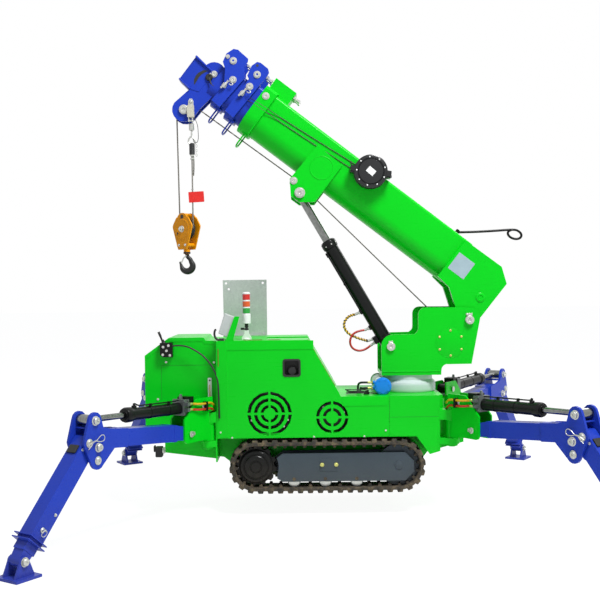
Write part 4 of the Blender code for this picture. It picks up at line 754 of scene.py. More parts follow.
# Chassis and hood. The chassis is welded plate, and the hood a folded steel shell with laser-cut grilles.
# Behind them sit a radiator and a silencer. A rubber gasket lines the small window, and a seal the slope.
HOOD_Y = -0.380


def rounded(low, high, radius, steps=4):
    """A rectangle with round corners, as (a, b) points."""
    points = []
    for x, z, start in ((high[0] - radius, high[1] - radius, 0), (low[0] + radius, high[1] - radius, 90),
                        (low[0] + radius, low[1] + radius, 180), (high[0] - radius, low[1] + radius, 270)):
        points += [(x + radius * math.cos(math.radians(start + 90 * i / steps)),
                    z + radius * math.sin(math.radians(start + 90 * i / steps))) for i in range(steps + 1)]
    return points


def ring_slab(outer, inner, low, high):
    """A flat frame between two outlines of equally many points, swept along Y."""
    shape = bmesh.new()
    loops = [[shape.verts.new((x, y, z)) for x, z in outline]
             for y in (low, high) for outline in (outer, inner)]
    count = len(outer)
    for a, b in ((0, 1), (1, 3), (3, 2), (2, 0)):
        for i in range(count):
            k = (i + 1) % count
            shape.faces.new((loops[a][i], loops[a][k], loops[b][k], loops[b][i]))
    return shape


def folded_band(low, high, proud, y=HOOD_Y):
    """The band over a fold in the hood's side: it stands proud at the fold and runs out at its other edge."""
    (x0, z0), (x1, z1) = low, high
    shape = bmesh.new()
    corners = ((x0, z0), (x1, z0), (x1, z1), (x0, z1))
    front = [shape.verts.new((x, y - depth, z)) for (x, z), depth in zip(corners, proud)]
    back = [shape.verts.new((x, y + 0.004, z)) for x, z in corners]
    shape.faces.new(front)
    shape.faces.new(list(reversed(back)))
    for i in range(4):
        k = (i + 1) % 4
        shape.faces.new((front[i], back[i], back[k], front[k]))
    return shape


folds = [folded_band((-0.716, 1.163), (-0.112, 1.224), (0.0035, 0.0035, 0.0001, 0.0001)),
         folded_band((-0.788, 0.552), (-0.716, 1.224), (0.0001, 0.0035, 0.0035, 0.0001)),
         folded_band((0.085, 0.764), (0.400, 0.828), (0.0035, 0.0035, 0.0001, 0.0001))]
for x in (-0.70, -0.13, 0.22):
    folds.append(slab([(x, 0.545), (x + 0.030, 0.545), (x + 0.030, 0.560), (x, 0.560)], HOOD_Y - 0.0025,
                      HOOD_Y))
bands = piece("hood_folds", "root", green_enamel, folds)
fixings = [bolt((x, HOOD_Y - 0.002, z), (0, -1, 0), 0.006)
           for x, z in ((-0.685, 0.552), (-0.115, 0.552), (0.235, 0.552), (-0.765, 0.590), (0.385, 0.590))]
small_bolts = piece("hood_bolts", "root", zinc_plate, fixings)

black_rubber_and_painted_shade = moulded("extruded_epdm_gasket_and_painted_shade", "141514", "0A0B0B", 0.55)
gasket = piece("window_gasket", "root", black_rubber_and_painted_shade,
               [ring_slab(rounded((-0.328, 0.971), (-0.202, 1.096), 0.018),
                          rounded((-0.314, 0.985), (-0.216, 1.082), 0.012),
                          HOOD_Y - 0.004, HOOD_Y + 0.013)], edge=0.0015)
# Behind the window, a black sheet with a round black boss on it is painted shade: it stands for the dark
# inside of the hood.
inside_shade = piece("window_inside_shade", "root", black_rubber_and_painted_shade,
             [slab(rounded((-0.318, 0.981), (-0.212, 1.086), 0.012), HOOD_Y + 0.060, HOOD_Y + 0.064),
              lathe([(0.030, 0), (0.034, 0.010), (0.034, 0.030), (0.026, 0.036), (0, 0.036)],
                    (-0.262, HOOD_Y + 0.060, 1.010), (0, -1, 0), 32)])
seal_red = moulded("red_brown_edge_seal", "8C3A22", "6A2A18", 0.55)
slope = [(-0.150, HOOD_Y + 0.006, 1.229), (-0.100, HOOD_Y + 0.006, 1.141), (0.036, HOOD_Y + 0.006, 0.904)]
strip = [tube(smooth_path(slope, 4), 0.0030, 8),
         slab([(-0.7770, 1.050), (-0.7730, 1.050), (-0.7730, 1.172), (-0.7770, 1.172)], HOOD_Y - 0.0045,
              HOOD_Y),
         block((-0.600, -0.330, 1.2272), (-0.470, -0.322, 1.2305)),
         block((-0.430, -0.330, 1.2272), (-0.340, -0.322, 1.2300))]
seals = piece("hood_seals", "root", seal_red, strip)

# Pressed steel of the engine block and its silencer, painted with heat-proof grey, matt and slightly cloudy.
grey_paint_and_painted_shade = moulded("heatproof_grey_paint_and_painted_shade", "2B2E30", "1A1C1E", 0.6, 120.0, 0.0012)
dress(grey_paint_and_painted_shade, "engine", edge=0.006)
fins = [block((-0.590, -0.352, 0.570), (-0.256, -0.330, 0.585)),
        block((-0.590, -0.352, 0.850), (-0.256, -0.330, 0.865))]
fins += [block((-0.586 + i * 0.0110, -0.350, 0.584),
               (-0.5835 + i * 0.0110, -0.334, 0.852)) for i in range(30)]
fins += [tube([Vector((-0.590, -0.339, 0.60 + i * 0.028)), Vector((-0.256, -0.339, 0.60 + i * 0.028))],
              0.0045, 8)
         for i in range(9)]
radiator = piece("radiator", "root", grey_paint_and_painted_shade, fins)
# The two dark grey sheets behind the radiator and the silencer are painted shade: they stand for the dark
# inside of the hood.
bay = [lathe([(0.020, 0), (0.100, 0.0), (0.105, 0.010), (0.105, 0.100), (0.098, 0.110), (0, 0.110)],
             (0.013, -0.335, 0.685), (0, 1, 0), 40),
       block((-0.100, -0.300, 0.565), (0.140, -0.286, 0.81)),
       block((-0.680, -0.300, 0.565), (-0.150, -0.292, 1.12))]
silencer_and_shade_sheets = piece("silencer_and_shade_sheets", "root", grey_paint_and_painted_shade, bay, edge=0.002)
clips = [bolt((0.013 + 0.088 * math.cos(t), -0.337, 0.685 + 0.088 * math.sin(t)), (0, -1, 0), 0.007)
         for t in (-0.5, 0.35, 2.3, 3.6, 4.4)]
clips += [bolt((-0.423 + 0.135 * math.cos(t), -0.353, 0.715 + 0.135 * math.sin(t)), (0, -1, 0), 0.007)
          for t in (-0.75, -0.35, 3.5)]
clip_set = piece("engine_bay_bolts", "root", zinc_plate, clips)

# Under the left end hang a rubber stop with its steel disc; the lug posts of the brackets are turned bosses.
under = [block((-1.236, -0.292, 0.405), (-1.186, -0.228, 0.478)),
         block((-1.250, -0.280, 0.440), (-1.236, -0.240, 0.486))]
stop = piece("nose_stop", "root", buffer_rubber, under, edge=0.008)
disc = piece("nose_stop_disc", "root", zinc_plate,
             [lathe([(0.020, 0), (0.020, 0.014), (0.012, 0.018), (0, 0.018)], (-1.187, -0.262, 0.448),
                    (0.8, -0.6, 0), 24),
              block((-1.190, -0.270, 0.436), (-1.168, -0.240, 0.470))], edge=0.002)
bosses = []
for sign_x, sign_y in CORNERS.values():
    for low, high, radius in ((0.475, 0.4895, 0.040), (0.5335, 0.545, 0.044), (0.648, 0.6595, 0.046)):
        bosses.append(lathe([(radius - 0.003, 0), (radius, 0.003), (radius, high - low)],
                            (sign_x * SWING_AT[0], sign_y * SWING_AT[1], low), (0, 0, 1), 36))
turned_bosses = piece("lug_bosses", "root", green_enamel, bosses)

# Control box. Pressed steel with a flanged lid, a flush door on its near side, a lever box with four screws
# and one lever, a white sight gauge, and a push-pull cable that runs over to the chassis.
BOX_Y = -0.2775
lid = piece("box_lid", "root", green_enamel,
            [slab([(-1.3025, 1.1235), (-1.1315, 1.2475), (-0.8850, 1.2475), (-0.8700, 1.2260),
                   (-0.7910, 1.2220),
                   (-0.7910, 1.2000), (-0.8800, 1.2020), (-0.8950, 1.2200), (-1.1240, 1.2200),
                   (-1.3025, 1.0950)],
                  BOX_Y - 0.0022, BOX_Y + 0.001)], edge=0.0008)
door_gap = moulded("shadow_gap_enamel", "067516", "045C10", 0.55)
gaps = [block((-1.1868, BOX_Y - 0.0006, 0.806), (-1.1852, BOX_Y, 1.0545)),
        block((-1.1868, BOX_Y - 0.0006, 1.0530), (-0.795, BOX_Y, 1.0545)),
        block((0.4115, HOOD_Y - 0.0006, 0.640), (0.4130, HOOD_Y, 0.829)),
        block((0.4125, HOOD_Y - 0.0006, 0.6815), (0.762, HOOD_Y, 0.6830))]
door = piece("door_gaps", "root", door_gap, gaps)
screws = [bolt((x, BOX_Y, z), (0, -1, 0), 0.0075)
          for x, z in ((-1.152, 1.077), (-0.814, 1.071), (-1.213, 0.815))]
lever_y = -0.3275
screws += [bolt((x, lever_y, z), (0, -1, 0), 0.0085)
           for x, z in ((-1.165, 1.186), (-1.128, 1.196), (-1.118, 1.128), (-1.168, 1.132), (-1.142, 1.160))]
screw_set = piece("box_screws", "root", zinc_plate, screws)
dress(black_enamel, "lever_box", edge=0.006)
handle = [tube(smooth_path([(-1.166, -0.302, 1.205), (-1.172, -0.302, 1.228), (-1.186, -0.302, 1.262),
                            (-1.199, -0.302, 1.292)], 4), lambda t: 0.0052 + 0.0035 * (t > 0.62), 12),
          lathe([(0.017, 0), (0.016, 0.004), (0.012, 0.008), (0.013, 0.012), (0.009, 0.017), (0.010, 0.021),
                 (0.0065, 0.026)], (-1.165, -0.302, 1.213), (-0.25, 0, 0.97), 24)]
lever = piece("control_lever", "root", black_rubber_and_painted_shade, handle)
white_abs = moulded("white_moulded_abs", "F1F3F0", "E4E7E4", 0.32)
gauge = [slab(rounded((-0.859, 0.787), (-0.831, 0.963), 0.006), BOX_Y - 0.009, BOX_Y)]
sight = piece("sight_gauge", "root", white_abs, gauge, edge=0.0015)
amber = piece("sight_gauge_oil", "root", yellow_hose,
              [slab(rounded((-0.8485, 0.815), (-0.8420, 0.915), 0.003), BOX_Y - 0.0096, BOX_Y - 0.008)])
dot = piece("sight_gauge_screws", "root", black_rubber_and_painted_shade,
            [lathe([(0.0062, 0), (0.0062, 0.002), (0.003, 0.003), (0, 0.003)], (-0.845, BOX_Y - 0.009, z),
                   (0, -1, 0), 20)
             for z in (0.945, 0.800)])
arch = [(-1.100, -0.330, 1.192), (-1.079, -0.333, 1.1955), (-1.035, -0.336, 1.1955), (-0.986, -0.340, 1.185),
        (-0.940, -0.345, 1.162), (-0.893, -0.351, 1.131), (-0.852, -0.358, 1.091), (-0.819, -0.365, 1.046),
        (-0.793, -0.373, 0.992), (-0.780, -0.381, 0.943), (-0.775, -0.387, 0.880), (-0.773, -0.389, 0.800),
        (-0.772, -0.389, 0.740), (-0.771, -0.388, 0.689)]
arch_path = smooth_path(arch, 4)
arch_cable = piece("control_cable", "root", hose_rubber, [tube(arch_path, 0.0058, 10)])


# Panel. One sheet of hot-dip galvanised steel, drilled at its top corners.
galvanised, tree, skin, spot = new_look("hot_dip_galvanised_sheet")
spangle = add(tree, "ShaderNodeTexVoronoi", {"Vector": spot.outputs["Object"]}, {"Scale": 90.0})
drift = add(tree, "ShaderNodeTexNoise", {"Vector": spot.outputs["Object"]}, {"Scale": 14.0, "Detail": 5.0})
flower = add(tree, "ShaderNodeMath", {0: spangle.outputs["Color"], 1: drift.outputs["Fac"]},
             operation="MULTIPLY")
two_tones(tree, skin, flower.outputs[0], "AEB3B1", "CDD1CF")
dull = add(tree, "ShaderNodeMapRange", {"Value": flower.outputs[0]}, {"To Min": 0.42, "To Max": 0.58})
tree.links.new(dull.outputs["Result"], skin.inputs["Roughness"])
skin.inputs["Metallic"].default_value = 0.35
dress(galvanised, "panel", edge=0.0012)
feet = []
for x in (-0.760, -0.480):
    for k in (-1, 1):
        feet.append(bolt((x + 0.012 * k, 0.276, 1.2376), (0, 0, 1), 0.008))
feet_set = piece("panel_bolts", "root", zinc_plate, feet)

# Signal lamp. A stack of moulded lenses, red, amber and green, on a white case, a black neck and a bracket.
BEACON_AT = (-0.582, -0.250)


def lens(low, high, radius=0.0275):
    """A ribbed lens ring between two heights."""
    profile = [(radius - 0.003, low), (radius - 0.001, low + 0.002)]
    ribs = 4
    for i in range(ribs):
        start = low + 0.004 + (high - low - 0.008) * i / ribs
        end = low + 0.004 + (high - low - 0.008) * (i + 1) / ribs
        profile += [(radius - 0.0008, start), (radius, (start + end) / 2), (radius - 0.0008, end)]
    profile += [(radius - 0.001, high - 0.002), (radius - 0.003, high)]
    return lathe(profile, (*BEACON_AT, 0), (0, 0, 1), 36)


for name, colour, deep, low, high in (("red", "D8281F", "B81C14", 1.5085, 1.5500),
                                      ("amber", "E4611A", "CC4F0E", 1.4600, 1.5000),
                                      ("green", "1FA83A", "158C2C", 1.4130, 1.4515)):
    look = moulded(f"{name}_polycarbonate_lens", colour, deep, 0.16, 60.0, 0.0003)
    made = piece(f"beacon_{name}", "root", look, [lens(low, high)])
case = [lathe([(0.0285, 1.3420), (0.0295, 1.3450), (0.0295, 1.4060), (0.0285, 1.4090)], (*BEACON_AT, 0),
              (0, 0, 1), 36),
        lathe([(0.0262, 1.4088), (0.0262, 1.4135)], (*BEACON_AT, 0), (0, 0, 1), 36),
        lathe([(0.0262, 1.4510), (0.0262, 1.4605)], (*BEACON_AT, 0), (0, 0, 1), 36),
        lathe([(0.0262, 1.4995), (0.0262, 1.5090)], (*BEACON_AT, 0), (0, 0, 1), 36),
        lathe([(0.0270, 1.5495), (0.0280, 1.5520), (0.0270, 1.5600), (0.0180, 1.5645), (0, 1.5650)],
              (*BEACON_AT, 0), (0, 0, 1), 36),
        slab([(-0.616, 1.2275), (-0.548, 1.2275), (-0.548, 1.2420), (-0.566, 1.2700), (-0.568, 1.2960),
              (-0.596, 1.2960), (-0.598, 1.2700), (-0.616, 1.2420)], -0.262, -0.238),
        lathe([(0.026, 1.2275), (0.026, 1.2340), (0.020, 1.2380), (0, 1.2380)], (*BEACON_AT, 0), (0, 0, 1),
              32)]
cases = piece("beacon_case", "root", white_abs, case, edge=0.0008)
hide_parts("beacon")
neck = piece("beacon_neck", "root", black_rubber_and_painted_shade,
             [lathe([(0.0150, 1.2950), (0.0150, 1.3060), (0.0100, 1.3090), (0.0100, 1.3160), (0.0140, 1.3190),
                     (0.0140, 1.3260), (0.0105, 1.3290), (0.0150, 1.3425)], (*BEACON_AT, 0), (0, 0, 1), 28),
              block((-0.624, -0.246, 1.2965), (-0.598, -0.222, 1.3110))], edge=0.0006)

# Control pod. A moulded grey case tilted on a green plate arm, with a frosted lid and a black handle.
pod_grey = moulded("grey_moulded_abs", "C3C9C6", "B2B9B5", 0.30)
dress(pod_grey, "pod", edge=0.005)
grip = [tube(smooth_path([(-0.765, -0.368, 1.2290), (-0.790, -0.368, 1.2450), (-0.800, -0.368, 1.2700),
                          (-0.797, -0.368, 1.2980), (-0.788, -0.368, 1.3080)], 5), 0.0075, 12),
        block((-0.770, -0.374, 1.2275), (-0.735, -0.346, 1.2440)),
        block((-0.732, -0.350, 1.2275), (-0.690, -0.318, 1.2360))]
pod_grip = piece("pod_handle", "root", black_rubber_and_painted_shade, grip, edge=0.002)

# A spare length of lamp cable lies coiled on the rear deck, and runs on to the slew motor.
coil = []
for i in range(0, 34):
    turn = 2 * math.pi * i / 13
    swell = 0.012 * math.sin(3.1 * turn / 2.6)
    coil.append((0.190 + (0.078 + swell) * math.cos(turn), -0.262 + (0.048 + swell) * math.sin(turn),
                 0.8350 + 0.0027 * i / 3.0))
coil += [(0.150, -0.205, 0.8490), (0.220, -0.200, 0.8400), (0.290, -0.225, 0.8365), (0.335, -0.262, 0.8370),
         (0.352, -0.285, 0.8480)]
coil_path = smooth_path(coil, 4)
loom = piece("deck_cable", "root", hose_rubber, [tube(coil_path, 0.0032, 8)])
knob = piece("deck_gland", "root", black_rubber_and_painted_shade,
             [lathe([(0.020, 0), (0.020, 0.006), (0.014, 0.010), (0.014, 0.022), (0.009, 0.026), (0, 0.026)],
                    (0.262, -0.262, 0.8302), (0, 0, 1), 28)])

# Slew drive. A cast worm gear housing in pale grey carries the ring's teeth inside, and an orbit motor in
# light blue turns its worm. Socket screws hold the ring, and the motor's ports point back to the valves.
pale_grey = sprayed_enamel("pale_grey_enamel", "D2DDDD", "C0CCCC", roughness=0.28)
motor_blue = sprayed_enamel("light_blue_motor_enamel", "0A8AEC", "0878D4", roughness=0.26, coat=0.2)
dress(pale_grey, "slew_drive", edge=0.006)
dress(motor_blue, "slew_motor", edge=0.003)
SLEW_AT = (0.58, 0.0)
MOTOR_AT = (0.375, 0.888)
cast = [lathe([(0.2005, 0.0), (0.2030, 0.004), (0.2040, 0.018), (0.2040, 0.046), (0.2030, 0.060),
               (0.2005, 0.064)],
              (*SLEW_AT, 0.8325), (0, 0, 1), 72),
        lathe([(0.052, 0), (0.056, 0.006), (0.056, 0.020), (0.052, 0.026)],
              (MOTOR_AT[0], -0.168, MOTOR_AT[1]), (0, 1, 0), 36),
        lathe([(0.054, 0), (0.050, 0.012), (0.030, 0.020), (0, 0.022)], (MOTOR_AT[0], 0.168, MOTOR_AT[1]),
              (0, 1, 0), 36)]
housing = piece("slew_housing", "root", pale_grey, cast)
ring_bolts = [bolt((SLEW_AT[0] + 0.190 * math.cos(2 * math.pi * (i + 0.5) / 20),
                    0.190 * math.sin(2 * math.pi * (i + 0.5) / 20),
                    0.8955), (0, 0, 1), 0.008) for i in range(20)]
for i in range(6):
    turn = math.pi / 3 * i
    ring_bolts.append(bolt((MOTOR_AT[0] + 0.046 * math.cos(turn), -0.1735,
                            MOTOR_AT[1] + 0.046 * math.sin(turn)), (0, -1, 0), 0.006))
slew_bolts = piece("slew_bolts", "root", zinc_plate, ring_bolts)
cap = [lathe([(0.0505, 0), (0.0610, 0.002), (0.0620, 0.010), (0.0620, 0.028), (0.0560, 0.034),
              (0.0380, 0.034), (0.0360, 0.030), (0.0180, 0.030), (0.0160, 0.036), (0, 0.036)],
              (MOTOR_AT[0], -0.263, MOTOR_AT[1]), (0, -1, 0), 36)]
for i in range(7):
    turn = 2 * math.pi * (i + 0.25) / 7
    cap.append(bolt((MOTOR_AT[0] + 0.047 * math.cos(turn), -0.296, MOTOR_AT[1] + 0.047 * math.sin(turn)),
                    (0, -1, 0), 0.008))
for z in (-0.019, 0.021):
    cap.append(lathe([(0.013, 0), (0.013, 0.022), (0.010, 0.024), (0, 0.024)],
                     (0.334, -0.215, MOTOR_AT[1] + z), (-1, 0, 0), 24))
motor_cap = piece("slew_motor_cap", "root", motor_blue, cap, edge=0.001)
ends = [fitting((0.311, -0.215, MOTOR_AT[1] + z), (-1, 0, 0), 0.0085) for z in (-0.019, 0.021)]
ports = piece("slew_motor_ports", "root", yellow_plate, ends)
for k, z in enumerate((0.869, 0.909)):
    out = 0.018 * k
    path = smooth_path([(0.286, -0.215, z), (0.264 - out, -0.212, z), (0.240 - out, -0.194, z - 0.004),
                        (0.228 - out, -0.160, z * 0.6 + 0.343), (0.226 - out, -0.130, 0.850),
                        (0.226 - out, -0.118, 0.831)], 6)
    hose = piece(f"slew_hose_{k}", "root", hose_rubber, [tube(path, HOSE_RADIUS, 12)])

# Turret. Two thick flame-cut plates on a base plate carry the boom's pin and the luff cylinder's pin; a round
# cover with six yellow-plated bolts closes the winch's side, and a weld bead runs along the base plate.
TURRET_Y = 0.188
DRUM_AT, BOOM_PIN_AT, LUFF_BASE_AT = (0.872, 1.182), (1.008, 1.346), (0.445, 1.162)
covers, cover_bolts, pins = [], [], []
for facing in (-1, 1):
    out = (0, facing, 0)
    covers.append(lathe([(0.1065, -0.001), (0.1065, 0.0012), (0.1052, 0.0022), (0.1030, 0.0012),
                         (0.1010, 0.0018), (0, 0.0018)],
                        (DRUM_AT[0], facing * TURRET_Y, DRUM_AT[1]), out, 64))
    for i in range(6):
        turn = math.radians(90 + 60 * i)
        cover_bolts.append(bolt((DRUM_AT[0] + 0.090 * math.cos(turn), facing * (TURRET_Y + 0.0015),
                                 DRUM_AT[1] + 0.090 * math.sin(turn)),
                                out, 0.0075))
    pins.append(pin_head((BOOM_PIN_AT[0], facing * 0.199, BOOM_PIN_AT[1]), out, 0.032, 0.016))
    pins.append(lathe([(0.0085, 0), (0.0085, 0.010), (0.005, 0.013), (0, 0.013)],
                      (0.992, facing * 0.1875, 1.384), out, 16))
    pins.append(pin_head((LUFF_BASE_AT[0], facing * 0.199, LUFF_BASE_AT[1]), out, 0.0305, 0.010))
    low, high = sorted((facing * 0.1875, facing * 0.1925))
    pins.append(slab([(0.984, 1.376), (1.030, 1.376), (1.030, 1.394), (0.984, 1.394)], low, high))
    pins.append(slab([(0.429, 1.188), (0.461, 1.188), (0.461, 1.202), (0.429, 1.202)], low, high))
covers += [tube([Vector((x, facing * 0.1885, 0.9815 + 0.0006 * math.sin(61 * x)))
                 for x in [0.385 + 0.41 * i / 40 for i in range(41)]], 0.0042, 8) for facing in (-1, 1)]
cover_set = piece("winch_covers", "turret", green_enamel, covers)
cover_bolt_set = piece("winch_cover_bolts", "turret", yellow_plate, cover_bolts)
pin_set = piece("turret_pins", "turret", zinc_plate, pins, edge=0.0008)

# Steel wire rope, six strands laid right: grey, darker in the valleys between strands; a strand is 2 mm, drawn
# at 5 mm.
wire_rope, tree, skin, spot = new_look("laid_steel_wire_rope")
strands = add(tree, "ShaderNodeTexWave", {"Vector": spot.outputs["Object"]},
              {"Scale": 55.0, "Distortion": 0.6}, wave_type="BANDS", bands_direction="DIAGONAL")
two_tones(tree, skin, strands.outputs["Fac"], "3C3A36", "8E8B82")
lay = add(tree, "ShaderNodeBump", {"Height": strands.outputs["Fac"]}, {"Strength": 0.6, "Distance": 0.002})
tree.links.new(lay.outputs["Normal"], skin.inputs["Normal"])
skin.inputs["Metallic"].default_value = 0.7
skin.inputs["Roughness"].default_value = 0.45
dress(black_enamel, "winch", edge=0.002)
turns = []
for i in range(25 * 16):
    turn = 2 * math.pi * i / 16
    turns.append(Vector((DRUM_AT[0] + 0.0755 * math.cos(turn), -0.135 + 0.010 * i / 16,
                         DRUM_AT[1] + 0.0755 * math.sin(turn))))
drum_rope = piece("drum_rope", "turret", wire_rope, [tube(turns, 0.005, 8)])

BOOM_TURN = math.radians(37.7)
boom_place = frame_of((-math.cos(BOOM_TURN), 0, math.sin(BOOM_TURN)), (0, -1, 0),
                      (math.sin(BOOM_TURN), 0, math.cos(BOOM_TURN)), (BOOM_PIN_AT[0], 0, BOOM_PIN_AT[1]))
drum_exit = Vector((DRUM_AT[0] + 0.059, 0.0, DRUM_AT[1] + 0.054))
GUIDE_AT = (1.604, 0.041)
lead_in = boom_place @ Vector((GUIDE_AT[0] + 0.011, 0.0, GUIDE_AT[1] + 0.0285))
winch_rope = piece("winch_rope", None, wire_rope,
                   [tube([drum_exit, lead_in], 0.0045, 10)])  # two rings, so it stays straight
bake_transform(winch_rope)
STEPS = (("boom_base", "boom_2", 1.615, 2.170), ("boom_2", "boom_3", 2.170, 2.300),
         ("boom_3", "boom_head", 2.300, 2.490))
for near_body, far_body, start, end in STEPS:
    path = [boom_place @ Vector((start + (end - start) * i / 12, 0,
                                 0.0695 - 0.020 * (start + (end - start) * i / 12 - 1.6)))
            for i in range(13)]
    run = piece(f"boom_rope_{far_body}", None, wire_rope, [tube(path, 0.0045, 10)])
    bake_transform(run)

# Boom base. A welded tube with a flat top and a round belly; a bracket for the luff cylinder, a tail, and
# a reel of cable whose black cover is held by nine small screws between two toggle clamps.
def boom_box(s, y, n):
    """A block in the boom's own axes, from pairs of lowest and highest values."""
    return slab([(s[0], n[0]), (s[1], n[0]), (s[1], n[1]), (s[0], n[1])], y[0], y[1])


def turned_to(angle_deg, s, n):
    """Turns a shape about a point of the boom's side."""
    return (Matrix.Translation((s, 0, n)) @ Matrix.Rotation(math.radians(-angle_deg), 4, "Y")
            @ Matrix.Translation((-s, 0, -n)))


def boom_pins(name, body, places, radius, start, proud=0.012, look=None):
    """Pin heads on both sides of the boom, each on its washer."""
    heads = []
    for s, n in places:
        for facing in (-1, 1):
            heads.append(pin_head((s, facing * start, n), (0, facing, 0), radius, proud))
            heads.append(lathe([(radius + 0.005, -0.001), (radius + 0.005, 0.003), (0, 0.003)],
                               (s, facing * start, n), (0, facing, 0), 28))
    made = piece(name, body, look or zinc_plate, heads, boom_place)
    return made


boom_pins("luff_top_pin", "boom_base", [(1.516, -0.002)], 0.033, 0.1595, 0.014)
boom_pins("rope_guide_pin", "boom_base", [GUIDE_AT], 0.022, 0.1480, 0.010)
guide_wheel = piece("rope_guide_wheel", "boom_base", grey_paint_and_painted_shade,
                    [lathe([(0.010, -0.012), (0.030, -0.012), (0.030, -0.009), (0.023, -0.004),
                            (0.023, 0.004), (0.030, 0.009),
                            (0.030, 0.012), (0.010, 0.012)], (GUIDE_AT[0], 0, GUIDE_AT[1]), (0, 1, 0), 36),
                     lathe([(0.0095, -0.127), (0.0095, 0.127)], (GUIDE_AT[0], 0, GUIDE_AT[1]), (0, 1, 0),
                           20)], boom_place)
dressing = []
for facing in (-1, 1):
    out = (0, facing, 0)
    dressing.append(lathe([(0.086, -0.001), (0.086, 0.0022), (0.082, 0.0034), (0.079, 0.0010), (0, 0.0010)],
                          (1.500, facing * 0.1475, 0.235), out, 48))
    dressing.append(lathe([(0.034, -0.001), (0.034, 0.004), (0.028, 0.008), (0.018, 0.008), (0.014, 0.004),
                           (0, 0.004)],
                          (0.030, facing * 0.1635, 0.177), out, 36))
    edge_y = sorted((facing * 0.1305, facing * 0.1325))
    dressing.append(boom_box((0.3615, 0.3655), edge_y, (0.125, 0.440)))
    dressing.append(boom_box((2.064, 2.068), sorted((facing * 0.1495, facing * 0.1512)), (0.12, 0.46)))
base_marks = piece("boom_base_welds", "boom_base", green_enamel, dressing, boom_place)
name_blank = moulded("anodised_name_plate", "A9C0C8", "98AFB8", 0.30, 90.0)
name_blank.node_tree.nodes["Principled BSDF"].inputs["Metallic"].default_value = 0.4
plate = piece("blank_plate", "boom_base", name_blank,
              [boom_box((0.205, 0.345), (0.1637, 0.1652), (0.206, 0.346))], boom_place, edge=0.0004)
rivets = [lathe([(0.0032, 0), (0.0030, 0.0014), (0, 0.0020)], (s, 0.1652, n), (0, 1, 0), 12)
          for s in (0.212, 0.338) for n in (0.213, 0.339)]
rivet_set = piece("blank_plate_rivets", "boom_base", zinc_plate, rivets, boom_place)

# The two thin cables on the boom's side run from the reel to the boom's mouth.
for k, (n0, n1) in enumerate(((0.393, 0.332), (0.352, 0.308))):
    path = [boom_place @ Vector((1.300 + (2.168 - 1.300) * i / 16,
                                 0.1345 + 0.0135 * min(1, max(0, (i - 12.6) / 1.2)),
                                 n0 + (n1 - n0) * i / 16 + 0.012 * (1 - i / 16) ** 2)) for i in range(17)]
    line = piece(f"side_cable_{k}", "boom_base", hose_rubber, [tube(path, 0.0028, 8)])
for k, n in enumerate((0.332, 0.308)):
    points = [(2.168, 0.1500, n), (2.200, 0.1380, n - 0.004), (2.240, 0.1330, n - 0.007),
              (2.298, 0.1320, n - 0.010)]
    path = [boom_place @ p for p in smooth_path(points, 5)]
    line = piece(f"mouth_cable_{k}", None, hose_rubber, [tube(path, 0.0028, 8)])
    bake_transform(line)

gloss_abs = moulded("gloss_black_moulded_abs", "16181A", "0C0E10", 0.22, 160.0, 0.0003)
dress(gloss_abs, "cable_reel", edge=0.006)
REEL_AT = (1.200, 0.418)
lid = [lathe([(0.112, -0.004), (0.119, 0.000), (0.119, 0.005), (0.108, 0.010), (0.096, 0.010), (0.093, 0.005),
              (0.090, 0.005), (0.086, 0.012), (0.040, 0.015), (0, 0.016)],
              (REEL_AT[0], 0.2250, REEL_AT[1]), (0, 1, 0), 72),
       lathe([(0.1188, 0.150), (0.1215, 0.153), (0.1215, 0.163), (0.1188, 0.166)],
             (REEL_AT[0], 0, REEL_AT[1]), (0, 1, 0), 72)]
for turn_deg, reach in ((152, 0.128), (-28, 0.128)):
    turn = math.radians(turn_deg)
    s, n = REEL_AT[0] + reach * math.cos(turn), REEL_AT[1] + reach * math.sin(turn)
    for low, high, y0, y1 in ((-0.026, 0.026, 0.131, 0.215), (-0.016, 0.016, 0.170, 0.236)):
        clamp = boom_box((s - 0.018, s + 0.018), (y0, y1), (n + low, n + high))
        bmesh.ops.transform(clamp, matrix=turned_to(turn_deg, s, n), verts=clamp.verts)
        lid.append(clamp)
    tip = Vector((s + 0.030 * math.cos(turn + 0.9), 0.228, n + 0.030 * math.sin(turn + 0.9)))
    lid.append(tube(smooth_path([(s, 0.225, n), tuple(tip), (tip.x + 0.012, 0.222, tip.z + 0.016)], 4),
                    0.0055, 10))
cover = piece("reel_cover", "boom_base", gloss_abs, lid, boom_place, edge=0.0012)
screws = [lathe([(0.0052, 0), (0.0052, 0.002), (0.003, 0.0034), (0, 0.0034)],
                (REEL_AT[0] + 0.1020 * math.cos(t), 0.2352, REEL_AT[1] + 0.1020 * math.sin(t)), (0, 1, 0), 14)
          for t in [2 * math.pi * (i + 0.2) / 9 for i in range(9)]]
screw_set = piece("reel_screws", "boom_base", white_abs, screws, boom_place)
label = boom_box((REEL_AT[0] - 0.030, REEL_AT[0] + 0.030), (0.2404, 0.2418),
                 (REEL_AT[1] - 0.022, REEL_AT[1] + 0.022))
bmesh.ops.transform(label, matrix=turned_to(4, *REEL_AT), verts=label.verts)
blank = piece("reel_label_blank", "boom_base", white_abs, [label], boom_place)

